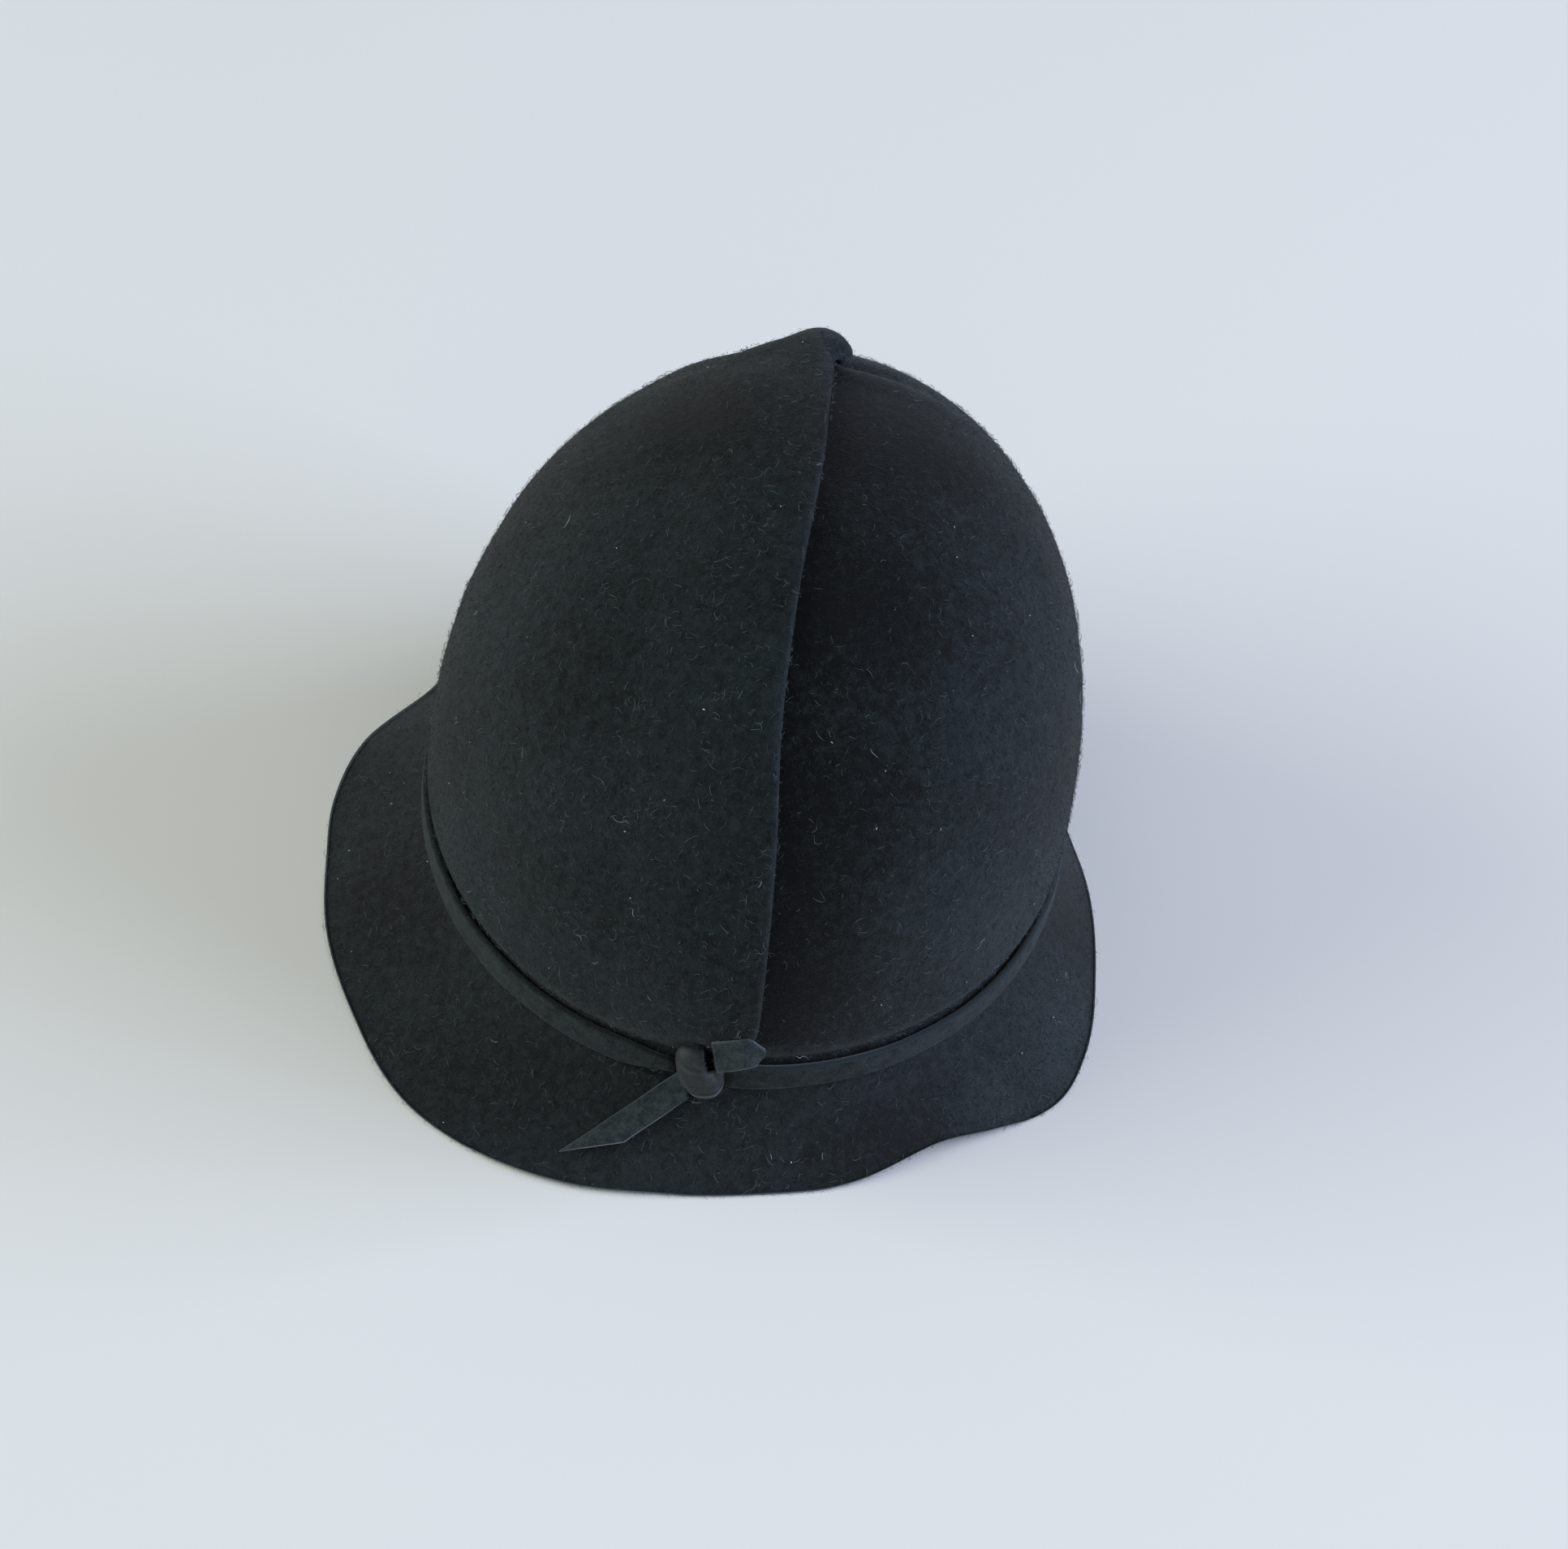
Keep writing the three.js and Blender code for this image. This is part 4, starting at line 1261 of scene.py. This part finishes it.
@dataclass
class StripNap:
    """The shorter nap that stands on the strip, its knot and its ends."""

    parts: list[BandStrip | Knot | StripEnd]
    offset: Array
    fibres: int = 9000
    length: float = 0.7
    length_spread: tuple[float, float] = (0.5, 1.5)
    width: float = 0.045
    sunk: float = 0.05
    rise: tuple[float, float] = (0.2, 1.0)
    seed: int = 120

    def build(self) -> bpy.types.Object:
        """Return the nap of the strip as one joined mesh."""
        rng = np.random.default_rng(self.seed)
        starts = np.cumsum([0] + [len(part.surface.points) for part in self.parts])
        points = np.concatenate([part.surface.points for part in self.parts])
        quads = np.concatenate([
            part.surface.quads + start for part, start in zip(self.parts, starts)])
        whole = Surface(points, np.empty((0, 3), int), quads)
        places, normals = whole.scatter(rng, self.fibres, quads)
        lying = unit(np.cross(normals, rng.normal(size=(self.fibres, 3))))
        rise = rng.uniform(*self.rise, (self.fibres, 1))
        length = self.length * rng.uniform(*self.length_spread, (self.fibres, 1))
        width = self.width * rng.uniform(*WIDTH_SPREAD, self.fibres)
        reach = unit(lying + normals * rise) * length
        surface = above_ground(spikes(places - normals * self.sunk, normals, reach, width))
        piece = add_mesh("nap_of_strip", surface, self.offset, [NAP_TONES[2].material()])
        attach(piece, BODY)
        return piece


@dataclass
class LooseFibres:
    """Curled fibres that lie on the nap."""

    felt: FeltBody
    name: str
    finish: PlainFinish
    count: int
    length: tuple[float, float]
    radius: float
    seed: int
    bend: float
    points: int = 8
    twist: float = 1.0
    patch_size: float = 24
    patch_blur: float = 0.9
    short_share: float = 1.6
    height: tuple[float, float] = (0.25, 0.8)
    arch: float = 0.25
    arch_pace: tuple[float, float] = (3, 9)
    arch_start: tuple[float, float] = (0, 6)

    def build(self) -> bpy.types.Object:
        """Return the fibres as one joined mesh."""
        rng = np.random.default_rng(self.seed)
        places, normals = self.felt.surface.scatter(rng, 2 * self.count, self.felt.outside_faces)
        crowding = wander(places, self.patch_size, self.seed)
        crowding = crowding + rng.normal(0, self.patch_blur, 2 * self.count)
        chosen = np.sort(np.argsort(crowding)[-self.count:])
        places, normals = places[chosen], normals[chosen]
        side = unit(np.cross(normals, rng.normal(size=(self.count, 3))))
        other = np.cross(normals, side)
        length = blend(*self.length, rng.random(self.count) ** self.short_share)
        bend = rng.normal(0, self.bend, self.count)
        turn = rng.normal(0, self.twist, self.count)
        height = rng.uniform(*self.height, self.count)
        along = np.linspace(-0.5, 0.5, self.points)
        heading = bend[:, None] * along + turn[:, None] * along ** 2
        step = (length / (self.points - 1))[:, None, None]
        moves = (np.cos(heading)[..., None] * side[:, None]
                 + np.sin(heading)[..., None] * other[:, None]) * step
        paths = places[:, None] + np.cumsum(moves, axis=1) - moves.sum(1, keepdims=True) / 2
        wave = along[None] * rng.uniform(*self.arch_pace, (self.count, 1))
        wave = wave + rng.uniform(*self.arch_start, (self.count, 1))
        arch = height[:, None] + self.arch * np.sin(wave)
        paths = paths + normals[:, None] * arch[..., None]
        radius = self.radius * rng.uniform(*WIDTH_SPREAD, self.count)
        surface = above_ground(curls(paths, radius))
        piece = add_mesh(self.name, surface, self.felt.offset, [self.finish.material()])
        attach(piece, BODY)
        return piece


@dataclass
class Specks:
    """Tiny crumbs of pale lint caught in the nap."""

    felt: FeltBody
    count: int = 90
    size: float = 0.22
    long_spread: tuple[float, float] = (0.7, 1.6)
    thick_spread: tuple[float, float] = (0.5, 1.0)
    height: float = 0.4
    points: int = 4
    seed: int = 77

    def build(self) -> bpy.types.Object:
        """Return the specks as one joined mesh."""
        rng = np.random.default_rng(self.seed)
        places, normals = self.felt.surface.scatter(rng, self.count, self.felt.outside_faces)
        side = unit(np.cross(normals, rng.normal(size=(self.count, 3))))
        half = side * (self.size * rng.uniform(*self.long_spread, self.count))[:, None]
        along = np.linspace(-1, 1, self.points)
        middle = places[:, None] + normals[:, None] * self.height
        paths = middle + half[:, None] * along[None, :, None]
        radius = self.size * rng.uniform(*self.thick_spread, self.count)
        surface = above_ground(curls(paths, radius))
        piece = add_mesh("specks_of_lint", surface, self.felt.offset, [PALE_LINT.material()])
        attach(piece, BODY)
        return piece


@dataclass(frozen=True)
class SoftLight:
    """A large soft light that looks at the hat."""

    name: str
    place: tuple[float, float, float]
    size: tuple[float, float]
    watts: float
    colour: str

    def build(self, target: Vector) -> bpy.types.Object:
        """Return the light, turned to the target."""
        data = bpy.data.lights.new(self.name, "AREA")
        data.shape = "RECTANGLE"
        data.size, data.size_y = self.size
        data.energy = self.watts
        data.color = linear(self.colour)[:3]
        light = bpy.data.objects.new(self.name, data)
        light.location = self.place
        light.rotation_euler = (target - light.location).to_track_quat("-Z", "Y").to_euler()
        bpy.context.collection.objects.link(light)
        return light


@dataclass
class Studio:
    """The pale surface, the lights and the camera of the picture."""

    axis: Array
    elevation: float = 42.0
    azimuth: float = -4.07
    roll: float = 7.0
    distance: float = 1250.0
    target_height: float = 27.0
    focal_pixels: float = 5611.0
    width_pixels: float = 1932.0
    height_pixels: float = 1908.0
    middle_x: float = 910.0
    middle_y: float = 982.0
    sensor: float = 36.0
    near_clip: float = 0.05
    far_clip: float = 50.0
    floor_size: float = 40.0
    lit_height: float = 0.06

    def build(self) -> None:
        """Lay the surface, hang the lights and set the camera."""
        self._floor()
        self._world()
        target = Vector((0.0, 0.0, self.lit_height))
        for light in LIGHTS:
            light.build(target)
        self._camera()

    def _floor(self) -> None:
        """Lay a plain pale surface under the hat."""
        half = self.floor_size / 2
        mesh = bpy.data.meshes.new("surface")
        mesh.from_pydata([(-half, -half, 0), (half, -half, 0), (half, half, 0), (-half, half, 0)],
                         [], [(0, 1, 2, 3)])
        mesh.materials.append(PAPER.material())
        floor = bpy.data.objects.new("surface", mesh)
        bpy.context.collection.objects.link(floor)

    def _world(self) -> None:
        """Fill the room with an even pale light."""
        world = bpy.data.worlds.new("room")
        bpy.context.scene.world = world
        world.use_nodes = True
        tree = world.node_tree
        tree.nodes.clear()
        room = add_node(tree, "ShaderNodeBackground", {
            "Color": linear(ROOM_COLOUR), "Strength": ROOM_STRENGTH})
        add_node(tree, "ShaderNodeOutputWorld", {"Surface": room.outputs[0]})

    def _camera(self) -> None:
        """Stand the camera behind and above the hat, at the photograph's angle."""
        data = bpy.data.cameras.new("camera")
        data.sensor_width = self.sensor
        data.lens = self.focal_pixels * self.sensor / self.width_pixels
        data.shift_x = (self.width_pixels / 2 - self.middle_x) / self.width_pixels
        data.shift_y = (self.middle_y - self.height_pixels / 2) / self.width_pixels
        data.clip_start, data.clip_end = self.near_clip, self.far_clip
        a, e, r = (math.radians(v) for v in (self.azimuth, self.elevation, self.roll))
        back = Vector((math.sin(a) * math.cos(e), -math.cos(a) * math.cos(e), math.sin(e)))
        right = Vector((0, 0, 1)).cross(back).normalized()
        up = back.cross(right)
        turned_right = right * math.cos(r) + up * math.sin(r)
        turned_up = up * math.cos(r) - right * math.sin(r)
        target = Vector((self.axis[0] * MM, self.axis[1] * MM, self.target_height * MM))
        camera = bpy.data.objects.new("camera", data)
        place = Matrix((turned_right, turned_up, back)).transposed().to_4x4()
        place.translation = target + back * self.distance * MM
        camera.matrix_world = place
        bpy.context.collection.objects.link(camera)
        bpy.context.scene.camera = camera


# Matt pale paper gives a soft even ground with faint shadows
PAPER = PlainFinish("matt pale paper", "efece6", roughness=0.9, specular=0.2)
ROOM_COLOUR = "eef3f6"
ROOM_STRENGTH = 0.31
LIGHTS = (
    SoftLight("left window", (-3.1, -0.4, 1.3), (3.4, 2.2), 90.0, "f0fbf6"),
    SoftLight("right window", (3.1, -0.2, 1.3), (3.4, 2.2), 152.0, "ccdbff"),
    SoftLight("ceiling", (0.0, -1.0, 2.4), (2.4, 2.2), 5.5, "f4f8f8"),
    SoftLight("fill behind the camera", (0.1, -2.5, 1.5), (2.4, 1.6), 4.0, "f8faf6"),
)


def main() -> None:
    """Build the hat piece by piece, then the studio."""
    logging.basicConfig(level=logging.INFO, format="%(name)s: %(message)s")
    form = HatForm()
    felt = FeltBody(form)
    strip = [
        BandStrip(form, felt.offset),
        Knot(form, felt.offset),
        StripEnd(form, felt.offset, EndKind.LONG, angle=-7.6, start=2.15, length=24.8,
                 cut=-2.1, width=0.86),
        StripEnd(form, felt.offset, EndKind.SHORT, angle=-3.0, start=16.8, length=11.5,
                 cut=-0.1, lean=15.0, point=0.25),
    ]
    pieces = [felt.build(), *(part.build() for part in strip), *Nap(felt).build()]
    pieces.append(StripNap(strip, felt.offset).build())
    for number, finish in enumerate(WOOL_CURLS, start=1):
        pieces.append(LooseFibres(
            felt, f"grey_curls_{number}", finish, count=4000, length=(0.9, 3.4),
            radius=0.055, seed=60 + number, bend=1.4).build())
    pieces.append(LooseFibres(
        felt, "pale_threads", PALE_LINT, count=60, length=(1.5, 5.0), radius=0.055, seed=62,
        bend=1.2).build())
    pieces.append(Specks(felt).build())
    for piece in pieces:
        LOG.info("%s: %d faces", piece.name, len(piece.data.polygons))
    Studio(felt.offset).build()
    bpy.context.scene.view_settings.view_transform = "Standard"


if __name__ == "__main__":
    main()
